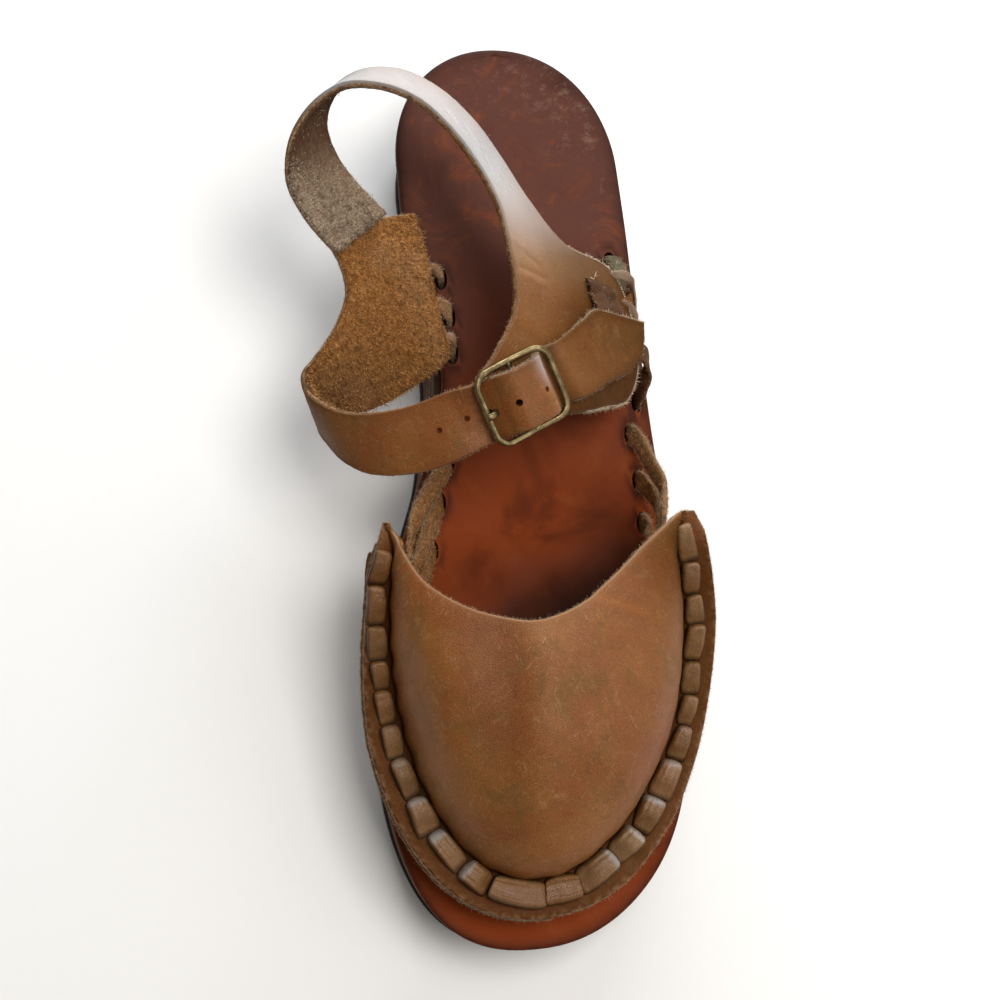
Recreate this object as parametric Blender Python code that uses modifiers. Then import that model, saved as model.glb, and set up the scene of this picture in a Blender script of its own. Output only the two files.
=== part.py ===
"""Left ankle strap sandal of laced leather on a low stacked sole.

+X is the lateral (outer) side, +Y the heel, -Y the toe and +Z up. The origin lies
on the ground under the middle of the heel. The tables are in millimetres, and
"back" is always the distance from the rear end of the sole toward the toe.
"""
from collections import namedtuple
from math import cos, pi, sin

import bmesh
import bpy
import numpy as np
from mathutils import Matrix, Vector

MM = 0.001

# Sole
SOLE_LENGTH = 266.0
HEEL_SETBACK = 35.0         # the origin lies this far in front of the rear end
HEEL_ROUND = 38.0           # length of the rounded heel end
HEEL_ROUNDNESS = 2.1        # 2 would be an ellipse
TOE_ROUND = 66.0            # length of the rounded toe end
TOE_ROUNDNESS = 2.3
HEEL_HEIGHT = 34.0          # top of the footbed at the heel
BALL_HEIGHT = 20.0          # top of the footbed at the ball
SLOPE_START = 60.0
SLOPE_END = 170.0
TOE_SPRING = 7.0
SPRING_START = 205.0
ARCH_RISE = 3.5
ARCH_START = 75.0
ARCH_END = 152.0
OUTSOLE_THICKNESS = 4.5
FOOTBED_THICKNESS = 4.0
WAIST_FLARE = 6.5           # the stack stands this much wider at the medial waist
FLARE_CENTRE = 102.0
FLARE_REACH = 34.0
HEEL_TAPER = 2.8            # the foot of the stack stands this far inside the footbed's edge
TAPER_FULL = 100.0          # from the rear end to here, then the taper fades
TAPER_END = 122.0
TOP_FLARE = 0.35            # part of the waist's flare that is left under the footbed
OUTSOLE_PROUD = 0.6         # the rubber's edge stands this far outside the stack
OUTSOLE_CHAMFER = 1.0
FOOTBED_PROUD = 0.4
FOOTBED_CHAMFER = 0.9
GAP = 0.3                   # between neighbouring pieces
STATIONS = 30

Level = namedtuple("Level", "flare taper outset height")
SoleRow = namedtuple("SoleRow", "back centre half")
SOLE_ROWS = [
    SoleRow(0, -2.4, 33.2),
    SoleRow(20, -1.5, 33.2),
    SoleRow(38, -0.3, 33.2),
    SoleRow(55, 0.6, 33.4),
    SoleRow(78, 3.2, 32.0),
    SoleRow(100, 7.0, 30.2),
    SoleRow(118, 6.6, 32.6),
    SoleRow(134, 4.8, 36.5),
    SoleRow(160, 2.0, 42.0),
    SoleRow(182, 0.3, 45.2),
    SoleRow(200, -0.7, 45.4),
    SoleRow(222, -1.2, 45.4),
    SoleRow(244, -3.0, 45.4),
    SoleRow(266, -7.0, 45.4),
]

# Vamp: a domed plug laced by its turned-out margin to a low side wall
PLUG_THICKNESS = 2.6
WALL_THICKNESS = 2.2
WALL_INSET = 6.4            # its inner face stands this far inside the seam
WALL_START = 0.022          # it stops short of the wing tips by this part of the seam
SEAM_TOE = 250.5
SEAM_ROUND = 78.0
SEAM_ROUNDNESS = 2.2
SEAM_START = 148.0
MARGIN_SLOPE = 0.2          # the turned-out margin climbs outward
WALL_PROUD = 0.6            # the wall's margin shows beyond the plug's
CREASE = 4.0                # the dome starts this far inside the seam
SEAM_LOW = 14.0             # height of the seam over the footbed round the toe
SEAM_WING = 32.0            # and at the tips of the wings
SEAM_DROP_END = 210.0
SEAM_SEGMENTS = 44
CREASE_AT_TIP = 0.3         # part of the crease's reach that is left at a wing tip
CREASE_OPENING = 0.035      # and the part of the seam over which it opens
WALL_BEND = 6.4             # the wall starts to turn outward this far under the seam
WALL_CORNER = 1.1
DOME_STEPS = (0.0, 0.04, 0.13, 0.27, 0.45, 0.64, 0.83, 1.0)

SEAM_ROWS = [
    SoleRow(148, -2.2, 43.2),
    SoleRow(160, -3.0, 44.4),
    SoleRow(175, -2.6, 45.5),
    SoleRow(190, -2.3, 45.8),
    SoleRow(205, -2.1, 45.8),
    SoleRow(222, -2.4, 45.8),
    SoleRow(240, -3.6, 45.8),
    SoleRow(250.5, -5.2, 45.8),
]

MarginRow = namedtuple("MarginRow", "back medial lateral")
MARGIN_ROWS = [             # reach of the turned-out margin beyond the seam
    MarginRow(148, 0.5, 1.8),
    MarginRow(154, 0.9, 4.6),
    MarginRow(159, 1.8, 5.5),
    MarginRow(165, 2.5, 6.1),
    MarginRow(178, 3.5, 6.4),
    MarginRow(191, 4.8, 6.5),
    MarginRow(205, 6.5, 6.7),
    MarginRow(220, 7.2, 7.2),
    MarginRow(250, 7.6, 7.6),
]

ThroatRow = namedtuple("ThroatRow", "along x back z")
THROAT_ROWS = [
    ThroatRow(0.00, -44.0, 148.6, 53.5),
    ThroatRow(0.12, -37.4, 163.0, 59.0),
    ThroatRow(0.25, -29.0, 171.0, 63.0),
    ThroatRow(0.38, -18.5, 175.8, 65.6),
    ThroatRow(0.50, -7.0, 177.8, 66.5),
    ThroatRow(0.62, 4.5, 174.4, 65.6),
    ThroatRow(0.75, 15.5, 166.6, 63.0),
    ThroatRow(0.88, 27.0, 156.6, 59.0),
    ThroatRow(1.00, 39.0, 147.6, 53.5),
]

# Seam lace: a flat thong in a row of crowned stitches
STITCH_PITCH = 10.0
STITCH_WIDTH = 6.2
STITCH_HEIGHT = 2.3
FIRST_STITCH = 0.030        # after the medial wing tip, as a part of the seam
LAST_STITCH = 0.986         # before the lateral wing tip
LACE_WIDTH = 4.6
LACE_THICKNESS = 1.7
LACE_STEP = 3.2
STITCH_LIFT = 0.42          # clearance under the stitches that lie on the margin
STITCH_STEPS = (0.0, 0.14, 0.5, 0.86)
UNDER_STEPS = (0.0, 0.25, 0.75)

# Ankle cuff: two cut pieces, each ruled from its top edge to its low edge
CUFF_THICKNESS = 2.3
CUFF_ACROSS = 5             # faces from the top edge to the low edge
Ruling = namedtuple("Ruling", "top_x top_back top_z low_x low_back low_z")
LATERAL_RULINGS = [
    Ruling(-20.0, 112.5, 69.5, -15.5, 129.0, 63.5),     # end of the buckle base
    Ruling(-15.0, 106.5, 69.5, -0.5, 122.0, 61.0),
    Ruling(-13.0, 103.0, 69.5, 9.0, 120.0, 57.0),
    Ruling(-11.0, 100.0, 69.0, 19.0, 117.0, 50.0),
    Ruling(-10.0, 98.0, 69.0, 28.0, 113.0, 41.0),       # front corner of the laced edge
    Ruling(-9.0, 96.0, 69.0, 32.0, 106.0, 38.0),
    Ruling(-7.5, 90.0, 68.5, 32.5, 88.0, 37.0),
    Ruling(-7.5, 83.0, 69.0, 26.5, 73.0, 39.5),         # rear corner of the laced edge
    Ruling(-9.0, 75.5, 71.0, 11.0, 69.5, 52.0),         # neck of the heel strap
    Ruling(-11.5, 64.5, 73.0, -0.5, 58.5, 59.0),
    Ruling(-16.5, 54.0, 74.0, -8.0, 46.5, 61.0),
    Ruling(-24.0, 43.5, 75.0, -15.5, 35.5, 62.0),
    Ruling(-33.0, 34.5, 74.0, -25.0, 26.0, 62.0),
    Ruling(-42.5, 30.0, 72.0, -35.0, 20.5, 61.0),       # back of the heel
    Ruling(-52.0, 29.0, 69.0, -45.5, 20.0, 59.0),
    Ruling(-60.5, 34.0, 66.0, -53.5, 25.0, 56.5),
    Ruling(-66.0, 42.0, 63.0, -56.0, 33.0, 54.0),
    Ruling(-67.5, 52.5, 60.0, -53.0, 42.0, 51.5),
    Ruling(-63.0, 62.5, 58.0, -47.0, 50.0, 49.5),
    Ruling(-55.0, 72.0, 56.0, -39.5, 57.5, 47.0),       # sewn end of the heel strap
]
MEDIAL_FRONT_RULINGS = [
    Ruling(30.5, 90.5, 46.0, 33.5, 98.0, 43.5),         # blunt point of the strap
    Ruling(19.5, 88.5, 53.0, 31.0, 104.5, 45.5),
    Ruling(13.5, 94.0, 57.0, 22.5, 109.5, 51.5),
    Ruling(4.0, 102.5, 62.5, 12.0, 116.0, 58.5),
]
MEDIAL_REAR_RULINGS = [
    Ruling(-25.0, 115.0, 67.5, -21.0, 132.0, 64.0),
    Ruling(-40.5, 118.5, 62.0, -35.0, 135.5, 58.0),
    Ruling(-55.0, 117.5, 57.0, -51.0, 132.0, 49.0),
    Ruling(-61.0, 114.0, 55.0, -57.0, 125.0, 45.0),
    Ruling(-64.5, 110.0, 54.0, -60.0, 118.0, 42.0),     # bend at the medial side
    Ruling(-65.0, 106.0, 53.5, -56.0, 114.5, 40.0),
    Ruling(-62.0, 101.5, 53.0, -47.0, 113.0, 39.0),
    Ruling(-58.5, 96.5, 52.5, -34.0, 106.5, 38.0),
    Ruling(-55.0, 90.5, 52.0, -22.5, 97.0, 37.0),       # front corner of the laced edge
    Ruling(-52.5, 84.0, 52.0, -24.0, 88.0, 37.0),
    Ruling(-52.5, 77.5, 51.5, -26.0, 76.0, 37.0),
    Ruling(-56.5, 67.0, 51.0, -29.0, 59.5, 38.0),
    Ruling(-59.0, 63.0, 51.5, -30.5, 54.5, 39.0),       # rear end, under the heel strap
]

# Buckle, in its own axes: along the strap, across it, and off the leather
BUCKLE_BASE = (-9.1, 116.3, 65.3)       # x, back, z in the middle of the base leather
BUCKLE_ALONG = (0.884, 0.453, -0.120)
BUCKLE_ACROSS = (-0.385, 0.846, 0.356)
BUCKLE_LENGTH = 25.0
BUCKLE_WIDTH = 22.4
BUCKLE_WIRE = 2.3
BUCKLE_CORNER = 3.8
BUCKLE_LIFT = 5.6                       # outer bars over the base leather
BUCKLE_DIP = 1.0                        # side rails sink to the centre bar
PIN_RADIUS = 0.95                       # centre bar and prong
PRONG_ACROSS = -0.6
CHAPE_THICKNESS = 1.3
CHAPE_WIDTH = 13.2
CHAPE_FLAT = 2.8                        # its legs run level for this far beyond the bar
CHAPE_TOP_END = 5.0
CHAPE_TOP_SAG = 0.5
CHAPE_LOW_END = 5.6
STRAP_HALF_WIDTH = 8.4

ProngRow = namedtuple("ProngRow", "along drop")
PRONG_ROWS = [              # along from the middle of the front bar, drop from the rest height
    ProngRow(3.7, 1.6),
    ProngRow(2.9, 0.4),
    ProngRow(1.2, 0.0),
    ProngRow(-0.9, 0.1),
]

CrestRow = namedtuple("CrestRow", "along lift")
STRAP_CREST = [             # the free strap dips under the outer bars, over the chape
    CrestRow(15.0, 2.8),
    CrestRow(11.8, 2.6),
    CrestRow(9.2, 2.7),
    CrestRow(7.8, 4.5),
    CrestRow(6.4, 7.3),
    CrestRow(4.4, 8.7),
    CrestRow(0.4, 9.0),
    CrestRow(-2.6, 8.0),
    CrestRow(-5.4, 5.7),
    CrestRow(-7.8, 3.5),
    CrestRow(-9.7, 2.65),
    CrestRow(-11.8, 2.6),
    CrestRow(-15.0, 2.8),
]

# Lace holes in the footbed
Hole = namedtuple("Hole", "x back")
HOLE_LENGTH = 6.8
HOLE_WIDTH = 3.8
LATERAL_WING_HOLES = [Hole(32.8, 119.4), Hole(34.8, 133.2), Hole(35.6, 146.0)]
MEDIAL_WING_HOLES = [Hole(-22.6, 126.0), Hole(-25.6, 138.0), Hole(-28.4, 151.8)]
LATERAL_QUARTER_HOLES = [Hole(29.0, 65.2), Hole(31.6, 78.6), Hole(33.6, 93.0), Hole(35.2, 109.6)]
MEDIAL_QUARTER_HOLES = [Hole(-22.8, 72.5), Hole(-20.8, 84.0), Hole(-20.4, 94.5)]

# Thongs: each starts inside a hole and goes straight up before it leans away
LACE_SUNK = 2.4             # depth of its end under the footbed's top
LACE_CLEAR = 0.4            # height over the footbed where it starts to lean
LEAN_LIFT = 2.4
ALONG_SHOE = (0.0, 1.0, 0.0)

WingLace = namedtuple("WingLace", "name hole lean across route")
WING_LACES = [              # lean is (x, back) off the hole, route is (x, back, z)
    WingLace("lateral_wing_lace_1", LATERAL_WING_HOLES[0], (1.0, 2.0), (1.0, 0.3, 0.2),
             [(36.4, 131.0, 34.4), (39.0, 140.0, 42.4), (40.4, 148.2, 47.6)]),
    WingLace("lateral_wing_lace_2", LATERAL_WING_HOLES[1], (1.0, 2.0), (1.0, 0.3, 0.2),
             [(37.4, 143.0, 34.6), (37.6, 149.6, 41.6)]),
    WingLace("lateral_wing_lace_3", LATERAL_WING_HOLES[2], (0.8, 1.2), (1.0, 0.3, 0.2),
             [(37.4, 148.9, 28.4), (37.8, 150.4, 32.0)]),
    WingLace("medial_wing_lace_1", MEDIAL_WING_HOLES[0], (-1.2, 2.0), (1.0, -0.4, 0.1),
             [(-31.4, 139.0, 34.6), (-37.6, 150.4, 41.6)]),
    WingLace("medial_wing_lace_2", MEDIAL_WING_HOLES[1], (-1.0, 2.2), (1.0, -0.3, 0.2),
             [(-30.0, 148.6, 29.6), (-33.0, 158.4, 32.6)]),
]

LATERAL_LACE_RULINGS = (6.8, 6.4, 5.8, 4.8)     # ruling that each lace of the quarter lies on
MEDIAL_LACE_RULINGS = (10.35, 9.6, 8.75)        # counted from the first rear ruling
LoopRow = namedtuple("LoopRow", "down lift")
LATERAL_LOOP = [LoopRow(1.065, 1.0), LoopRow(0.985, 3.2), LoopRow(0.86, 2.5)]
MEDIAL_LOOP = [LoopRow(1.10, -0.9), LoopRow(0.99, -2.6), LoopRow(0.87, -2.5)]


def clear_scene():
    for item in list(bpy.data.objects):
        bpy.data.objects.remove(item, do_unlink=True)


def new_collection(name):
    collection = bpy.data.collections.new(name)
    bpy.context.scene.collection.children.link(collection)
    return collection


def material(name, colour, roughness, metallic=0.0):
    result = bpy.data.materials.new(name)
    result.use_nodes = True
    shader = result.node_tree.nodes["Principled BSDF"]
    shader.inputs["Base Color"].default_value = (*colour, 1.0)
    shader.inputs["Roughness"].default_value = roughness
    shader.inputs["Metallic"].default_value = metallic
    return result


def place(x, back, z):
    """Point in metres from table values."""
    return Vector((x, HEEL_SETBACK - back, z)) * MM


def smooth_step(value, start, end):
    t = min(max((value - start) / (end - start), 0.0), 1.0)
    return t * t * (3.0 - 2.0 * t)


def through(knots, values, at):
    """Cubic through the knots, with slopes from the neighbours."""
    knots = np.asarray(knots, dtype=float)
    values = np.asarray(values, dtype=float)
    slopes = np.gradient(values, knots, axis=0)
    i = int(np.clip(np.searchsorted(knots, at) - 1, 0, len(knots) - 2))
    span = knots[i + 1] - knots[i]
    t = (at - knots[i]) / span
    rise = 2 * t**3 - 3 * t**2
    return (
        values[i] * (rise + 1)
        - values[i + 1] * rise
        + slopes[i] * span * (t**3 - 2 * t**2 + t)
        + slopes[i + 1] * span * (t**3 - t**2)
    )


def column(rows, name):
    return [getattr(row, name) for row in rows]


# ---- meshes and objects ----

def add_object(mesh, collection, surface):
    mesh.shade_smooth()
    mesh.set_sharp_from_angle(angle=0.6)
    thing = bpy.data.objects.new(mesh.name, mesh)
    thing.data.materials.append(surface)
    collection.objects.link(thing)
    return thing


def weld(mesh):
    """Join doubled points and turn the faces outward."""
    shape = bmesh.new()
    shape.from_mesh(mesh)
    bmesh.ops.remove_doubles(shape, verts=shape.verts, dist=0.00001)
    bmesh.ops.recalc_face_normals(shape, faces=shape.faces)
    shape.to_mesh(mesh)
    shape.free()
    return mesh


def closed_mesh(name, points, faces):
    mesh = bpy.data.meshes.new(name)
    mesh.from_pydata([tuple(p) for p in points], [], faces)
    return weld(mesh)


def grid_faces(rows, columns):
    faces = []
    for i in range(rows - 1):
        for j in range(columns - 1):
            a = i * columns + j
            faces.append((a, a + 1, a + columns + 1, a + columns))
    return faces


def leather_sheet(name, grid, thickness, offset, collection, surface):
    """Sheet through a grid of points; offset 0 thickens both ways, -1 away from the finish."""
    points = [tuple(p) for row in grid for p in row]
    mesh = bpy.data.meshes.new(name)
    mesh.from_pydata(points, [], grid_faces(len(grid), len(grid[0])))
    sheet = add_object(mesh, collection, surface)
    shell = sheet.modifiers.new("thickness", "SOLIDIFY")
    shell.thickness = thickness * MM
    shell.offset = offset
    return sheet


def swept_faces(stations, around):
    """Side faces and end caps of a tube of closed sections."""
    faces = []
    for i in range(stations - 1):
        for j in range(around):
            k = (j + 1) % around
            faces.append((i * around + j, i * around + k, (i + 1) * around + k, (i + 1) * around + j))
    faces.append(tuple(range(around)))
    faces.append(tuple((stations - 1) * around + j for j in range(around)))
    return faces


# ---- sole ----

def sole_centre(back):
    return through(column(SOLE_ROWS, "back"), column(SOLE_ROWS, "centre"), back)


def end_rounding(back):
    into_heel = min(max(1.0 - back / HEEL_ROUND, 0.0), 1.0)
    into_toe = min(max((back - SOLE_LENGTH + TOE_ROUND) / TOE_ROUND, 0.0), 1.0)
    heel = (1.0 - into_heel**HEEL_ROUNDNESS) ** (1.0 / HEEL_ROUNDNESS)
    toe = (1.0 - into_toe**TOE_ROUNDNESS) ** (1.0 / TOE_ROUNDNESS)
    return heel * toe


def sole_half_width(back):
    return through(column(SOLE_ROWS, "back"), column(SOLE_ROWS, "half"), back) * end_rounding(back)


def waist_flare(back):
    reach = (back - FLARE_CENTRE) / FLARE_REACH
    return WAIST_FLARE * cos(reach * pi / 2) ** 2 if abs(reach) < 1.0 else 0.0


def heel_taper(back):
    return HEEL_TAPER * (1.0 - smooth_step(back, TAPER_FULL, TAPER_END))


def toe_lift(back):
    return TOE_SPRING * (max(back - SPRING_START, 0.0) / (SOLE_LENGTH - SPRING_START)) ** 2


def footbed_top(back):
    slope = smooth_step(back, SLOPE_START, SLOPE_END)
    return HEEL_HEIGHT + (BALL_HEIGHT - HEEL_HEIGHT) * slope + toe_lift(back)


def ground_side(back):
    """Height of the sole's underside: flat heel and ball, arched waist, raised toe."""
    arch = 0.0
    if ARCH_START < back < ARCH_END:
        arch = ARCH_RISE * sin(pi * (back - ARCH_START) / (ARCH_END - ARCH_START)) ** 2
    return arch + toe_lift(back)


def sole_outline(level):
    """Plan outline (x, back): heel point, medial side, toe point, lateral side."""
    backs = [SOLE_LENGTH * (1.0 - cos(pi * i / STATIONS)) / 2.0 for i in range(STATIONS + 1)]
    medial = [(sole_centre(b) - sole_half_width(b) - level.flare * waist_flare(b), b) for b in backs]
    lateral = [(sole_centre(b) + sole_half_width(b), b) for b in backs]
    ring = np.array(medial + lateral[-2:0:-1])
    ahead = np.roll(ring, -1, axis=0)
    behind = np.roll(ring, 1, axis=0)
    run = ahead - behind
    outward = np.stack([-run[:, 1], run[:, 0]], axis=1)
    outward /= np.linalg.norm(outward, axis=1)[:, None]
    outset = np.array([level.outset - level.taper * heel_taper(back) for _, back in ring])
    return ring + outward * outset[:, None]


def sole_layer(name, levels, collection, surface):
    """Slab from plan rings, low to high; the height of a level is a function of back."""
    points = []
    for level in levels:
        for x, back in sole_outline(level):
            inside = min(max(back, 0.0), SOLE_LENGTH)
            points.append(place(x, back, level.height(inside)))
    around = 2 * STATIONS
    faces = swept_faces(len(levels), around)[:-2]
    for start in (0, (len(levels) - 1) * around):
        faces.append((start, start + 1, start + around - 1))
        for i in range(1, STATIONS - 1):
            faces.append((start + i, start + i + 1, start + around - i - 1, start + around - i))
        faces.append((start + STATIONS - 1, start + STATIONS, start + STATIONS + 1))
    return add_object(closed_mesh(name, points, faces), collection, surface)


def raised(height, by):
    return lambda back: height(back) + by


def build_sole(collection, rubber, edge_leather, footbed_leather):
    outsole_top = raised(ground_side, OUTSOLE_THICKNESS)
    midsole_top = raised(footbed_top, -FOOTBED_THICKNESS - GAP)
    footbed_low = raised(footbed_top, -FOOTBED_THICKNESS)
    sole_layer("outsole", [
        Level(1.0, 1.0, -OUTSOLE_PROUD, ground_side),
        Level(1.0, 1.0, OUTSOLE_PROUD, raised(ground_side, OUTSOLE_CHAMFER)),
        Level(1.0, 1.0, OUTSOLE_PROUD, outsole_top),
    ], collection, rubber)
    sole_layer("midsole", [
        Level(1.0, 1.0, 0.0, raised(outsole_top, GAP)),
        Level(TOP_FLARE, 0.0, 0.0, midsole_top),
    ], collection, edge_leather)
    footbed = sole_layer("footbed", [
        Level(0.0, 0.0, -FOOTBED_PROUD, footbed_low),
        Level(0.0, 0.0, FOOTBED_PROUD, raised(footbed_low, FOOTBED_CHAMFER)),
        Level(0.0, 0.0, FOOTBED_PROUD, raised(footbed_top, -FOOTBED_CHAMFER)),
        Level(0.0, 0.0, -FOOTBED_PROUD, footbed_top),
    ], collection, footbed_leather)
    return footbed


def cut_lace_holes(footbed, cutters):
    """Oval holes through the footbed, their long side along the shoe."""
    shape = bmesh.new()
    holes = LATERAL_WING_HOLES + MEDIAL_WING_HOLES + LATERAL_QUARTER_HOLES + MEDIAL_QUARTER_HOLES
    for hole in holes:
        middle = place(hole.x, hole.back, footbed_top(hole.back) - FOOTBED_THICKNESS / 2)
        stretch = Matrix.Diagonal((HOLE_WIDTH * MM / 2, HOLE_LENGTH * MM / 2, 0.012, 1.0))
        bmesh.ops.create_cone(
            shape, cap_ends=True, segments=12, radius1=1.0, radius2=1.0, depth=1.0,
            matrix=Matrix.Translation(middle) @ stretch,
        )
    mesh = bpy.data.meshes.new("lace_hole_cutter")
    shape.to_mesh(mesh)
    shape.free()
    cutter = bpy.data.objects.new(mesh.name, mesh)
    cutter.hide_render = True
    cutter.display_type = "WIRE"
    cutters.objects.link(cutter)
    cut = footbed.modifiers.new("lace holes", "BOOLEAN")
    cut.operation = "DIFFERENCE"
    cut.object = cutter


# ---- vamp ----

def seam_plan():
    """Plan line of the seam from the medial wing round the toe to the lateral wing."""
    backs = SEAM_START + (SEAM_TOE - SEAM_START) * np.sin(np.linspace(0, pi / 2, 160))
    medial = []
    lateral = []
    for back in backs:
        into_toe = min(max((back - SEAM_TOE + SEAM_ROUND) / SEAM_ROUND, 0.0), 1.0)
        rounding = (1.0 - into_toe**SEAM_ROUNDNESS) ** (1.0 / SEAM_ROUNDNESS)
        centre = through(column(SEAM_ROWS, "back"), column(SEAM_ROWS, "centre"), back)
        half = through(column(SEAM_ROWS, "back"), column(SEAM_ROWS, "half"), back) * rounding
        medial.append((centre - half, back))
        lateral.append((centre + half, back))
    return np.array(medial + lateral[-2::-1])


class Seam:
    """Places along the seam: plan point, outward direction and height of its crease."""

    def __init__(self):
        self.line = seam_plan()
        steps = np.linalg.norm(np.diff(self.line, axis=0), axis=1)
        self.run = np.concatenate([[0.0], np.cumsum(steps)])
        self.length = self.run[-1]

    def plan(self, along):
        at = along * self.length
        return np.array([np.interp(at, self.run, self.line[:, k]) for k in (0, 1)])

    def outward(self, along):
        reach = 2.0 / self.length
        ahead = self.plan(min(along + reach, 1.0))
        behind = self.plan(max(along - reach, 0.0))
        run = (ahead - behind) / np.linalg.norm(ahead - behind)
        return np.array([-run[1], run[0]])

    def height(self, along):
        back = self.plan(along)[1]
        drop = smooth_step(back, SEAM_START, SEAM_DROP_END)
        return footbed_top(back) + SEAM_WING + (SEAM_LOW - SEAM_WING) * drop

    def margin(self, along):
        back = self.plan(along)[1]
        side = "medial" if along < 0.5 else "lateral"
        return np.interp(back, column(MARGIN_ROWS, "back"), column(MARGIN_ROWS, side))

    def crease(self, along):
        """Reach of the flat margin inside the seam; it closes at the tips of the wings."""
        from_tip = min(along, 1.0 - along)
        opened = smooth_step(from_tip, 0.0, CREASE_OPENING)
        return CREASE * (CREASE_AT_TIP + (1.0 - CREASE_AT_TIP) * opened)

    def point(self, along, across, lift):
        """Point beside the seam: across is outward from it, lift over the margin's slope."""
        x, back = self.plan(along) + self.outward(along) * across
        return place(x, back, self.height(along) + MARGIN_SLOPE * across + lift)


def throat(along):
    knots = column(THROAT_ROWS, "along")
    return np.array([through(knots, column(THROAT_ROWS, axis), along) for axis in ("x", "back", "z")])


def dome_rise(t):
    """Steep beside the crease, level at the throat."""
    return (1.0 - (1.0 - t) ** 2.1) ** 0.5


def plug_section(seam, along):
    """Finished face of the plug, from the throat over the dome and out to the margin."""
    margin = seam.margin(along) - WALL_PROUD
    crease = seam.crease(along)
    points = [seam.point(along, margin * part - 0.6 * crease * (1.0 - part), 0.0)
              for part in (1.0, 0.55, 0.1)]
    points.append(seam.point(along, -0.8 * crease, -0.1))
    start = seam.plan(along) - seam.outward(along) * crease
    low = seam.height(along) - MARGIN_SLOPE * crease + 0.5
    x, back, high = throat(along)
    for t in DOME_STEPS:
        flat = start + (np.array([x, back]) - start) * t
        points.append(place(flat[0], flat[1], low + (high - low) * dome_rise(t)))
    return points[::-1]


def wall_section(seam, along):
    """Inner face of the side wall, from the footbed up and out under the margin."""
    under = -PLUG_THICKNESS - 2 * GAP
    outward = seam.outward(along)
    on_seam = seam.plan(along)
    outer_foot = on_seam - outward * (WALL_INSET - WALL_THICKNESS)
    foot = footbed_top(outer_foot[1]) + GAP
    bend = seam.height(along) - WALL_BEND
    points = []
    for inset, rise in ((0.0, 0.0), (0.0, 0.3), (0.25, 0.7), (0.0, 1.0)):
        flat = on_seam - outward * (WALL_INSET + inset)
        points.append(place(flat[0], flat[1], foot + (bend - foot) * rise))
    corner = on_seam - outward * (WALL_INSET - WALL_CORNER)
    points.append(place(corner[0], corner[1], seam.height(along) + under - WALL_CORNER))
    margin = seam.margin(along)
    for across in (-3.4, -0.6, 0.5 * margin, margin):
        points.append(seam.point(along, across, under))
    return points


def build_vamp(seam, collection, surface):
    steps = [i / SEAM_SEGMENTS for i in range(SEAM_SEGMENTS + 1)]
    plug = [plug_section(seam, along) for along in steps]
    leather_sheet("vamp", plug, PLUG_THICKNESS, -1.0, collection, surface)
    reach = 1.0 - 2 * WALL_START
    wall = [wall_section(seam, WALL_START + reach * along) for along in steps]
    leather_sheet("vamp_side_wall", wall, WALL_THICKNESS, -1.0, collection, surface)


def stitch_size(phase):
    """Height and width of a stitch along its length: level, pinched where it dives."""
    crown = sin(pi * phase) ** 0.3 if 0.0 < phase < 1.0 else 0.0
    return 0.4 + 0.6 * crown, 0.8 + 0.2 * crown


def seam_lace(name, seam, base_lift, side, phases, collection, surface):
    """Row of stitches lying on one side of the laced margin."""
    count = round(seam.length * (LAST_STITCH - FIRST_STITCH) / STITCH_PITCH)
    pitch = (LAST_STITCH - FIRST_STITCH) / count
    profile = [(-0.5, 0.0), (-0.44, 0.66), (-0.2, 1.0), (0.2, 1.0), (0.44, 0.66), (0.5, 0.0)]
    stations = [stitch + phase for stitch in range(count) for phase in phases]
    stations.append(float(count))
    points = []
    for station in stations:
        along = FIRST_STITCH + station * pitch
        height, width = stitch_size(station % 1.0)
        half = STITCH_WIDTH / 2
        middle = max(min(seam.margin(along) - half, 0.0), half - 0.85 * seam.crease(along))
        for across, rise in profile:
            lift = base_lift + side * rise * STITCH_HEIGHT * height
            points.append(seam.point(along, middle + across * STITCH_WIDTH * width, lift))
    mesh = closed_mesh(name, points, swept_faces(len(stations), len(profile)))
    add_object(mesh, collection, surface)


# ---- ankle cuff ----

def buckle_axes():
    along = Vector(BUCKLE_ALONG).normalized()
    across = Vector(BUCKLE_ACROSS)
    across = (across - along * across.dot(along)).normalized()
    return along, across, along.cross(across)


def buckle_point(along, across, lift):
    a, w, n = buckle_axes()
    return place(*BUCKLE_BASE) + (a * along + w * across + n * lift) * MM


def ends(ruling):
    top = place(ruling.top_x, ruling.top_back, ruling.top_z)
    low = place(ruling.low_x, ruling.low_back, ruling.low_z)
    return top, low


def ruled_grid(pairs, straight, steps_between, across):
    """Grid of points on a ruled sheet; its first spans may be cut straight."""
    tops = np.array([tuple(pair[0]) for pair in pairs])
    lows = np.array([tuple(pair[1]) for pair in pairs])
    middles = (tops + lows) / 2
    spans = np.linalg.norm(np.diff(middles, axis=0), axis=1)
    knots = np.concatenate([[0.0], np.cumsum(spans)])
    grid = []
    for i in range(len(pairs) - 1):
        for step in range(steps_between if i >= straight else 1):
            at = knots[i] + (knots[i + 1] - knots[i]) * step / steps_between
            grid.append((through(knots, tops, at), through(knots, lows, at)))
    grid.append((tops[-1], lows[-1]))
    result = []
    for top, low in grid:
        result.append([Vector(top + (low - top) * j / across) for j in range(across + 1)])
    return result


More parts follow.
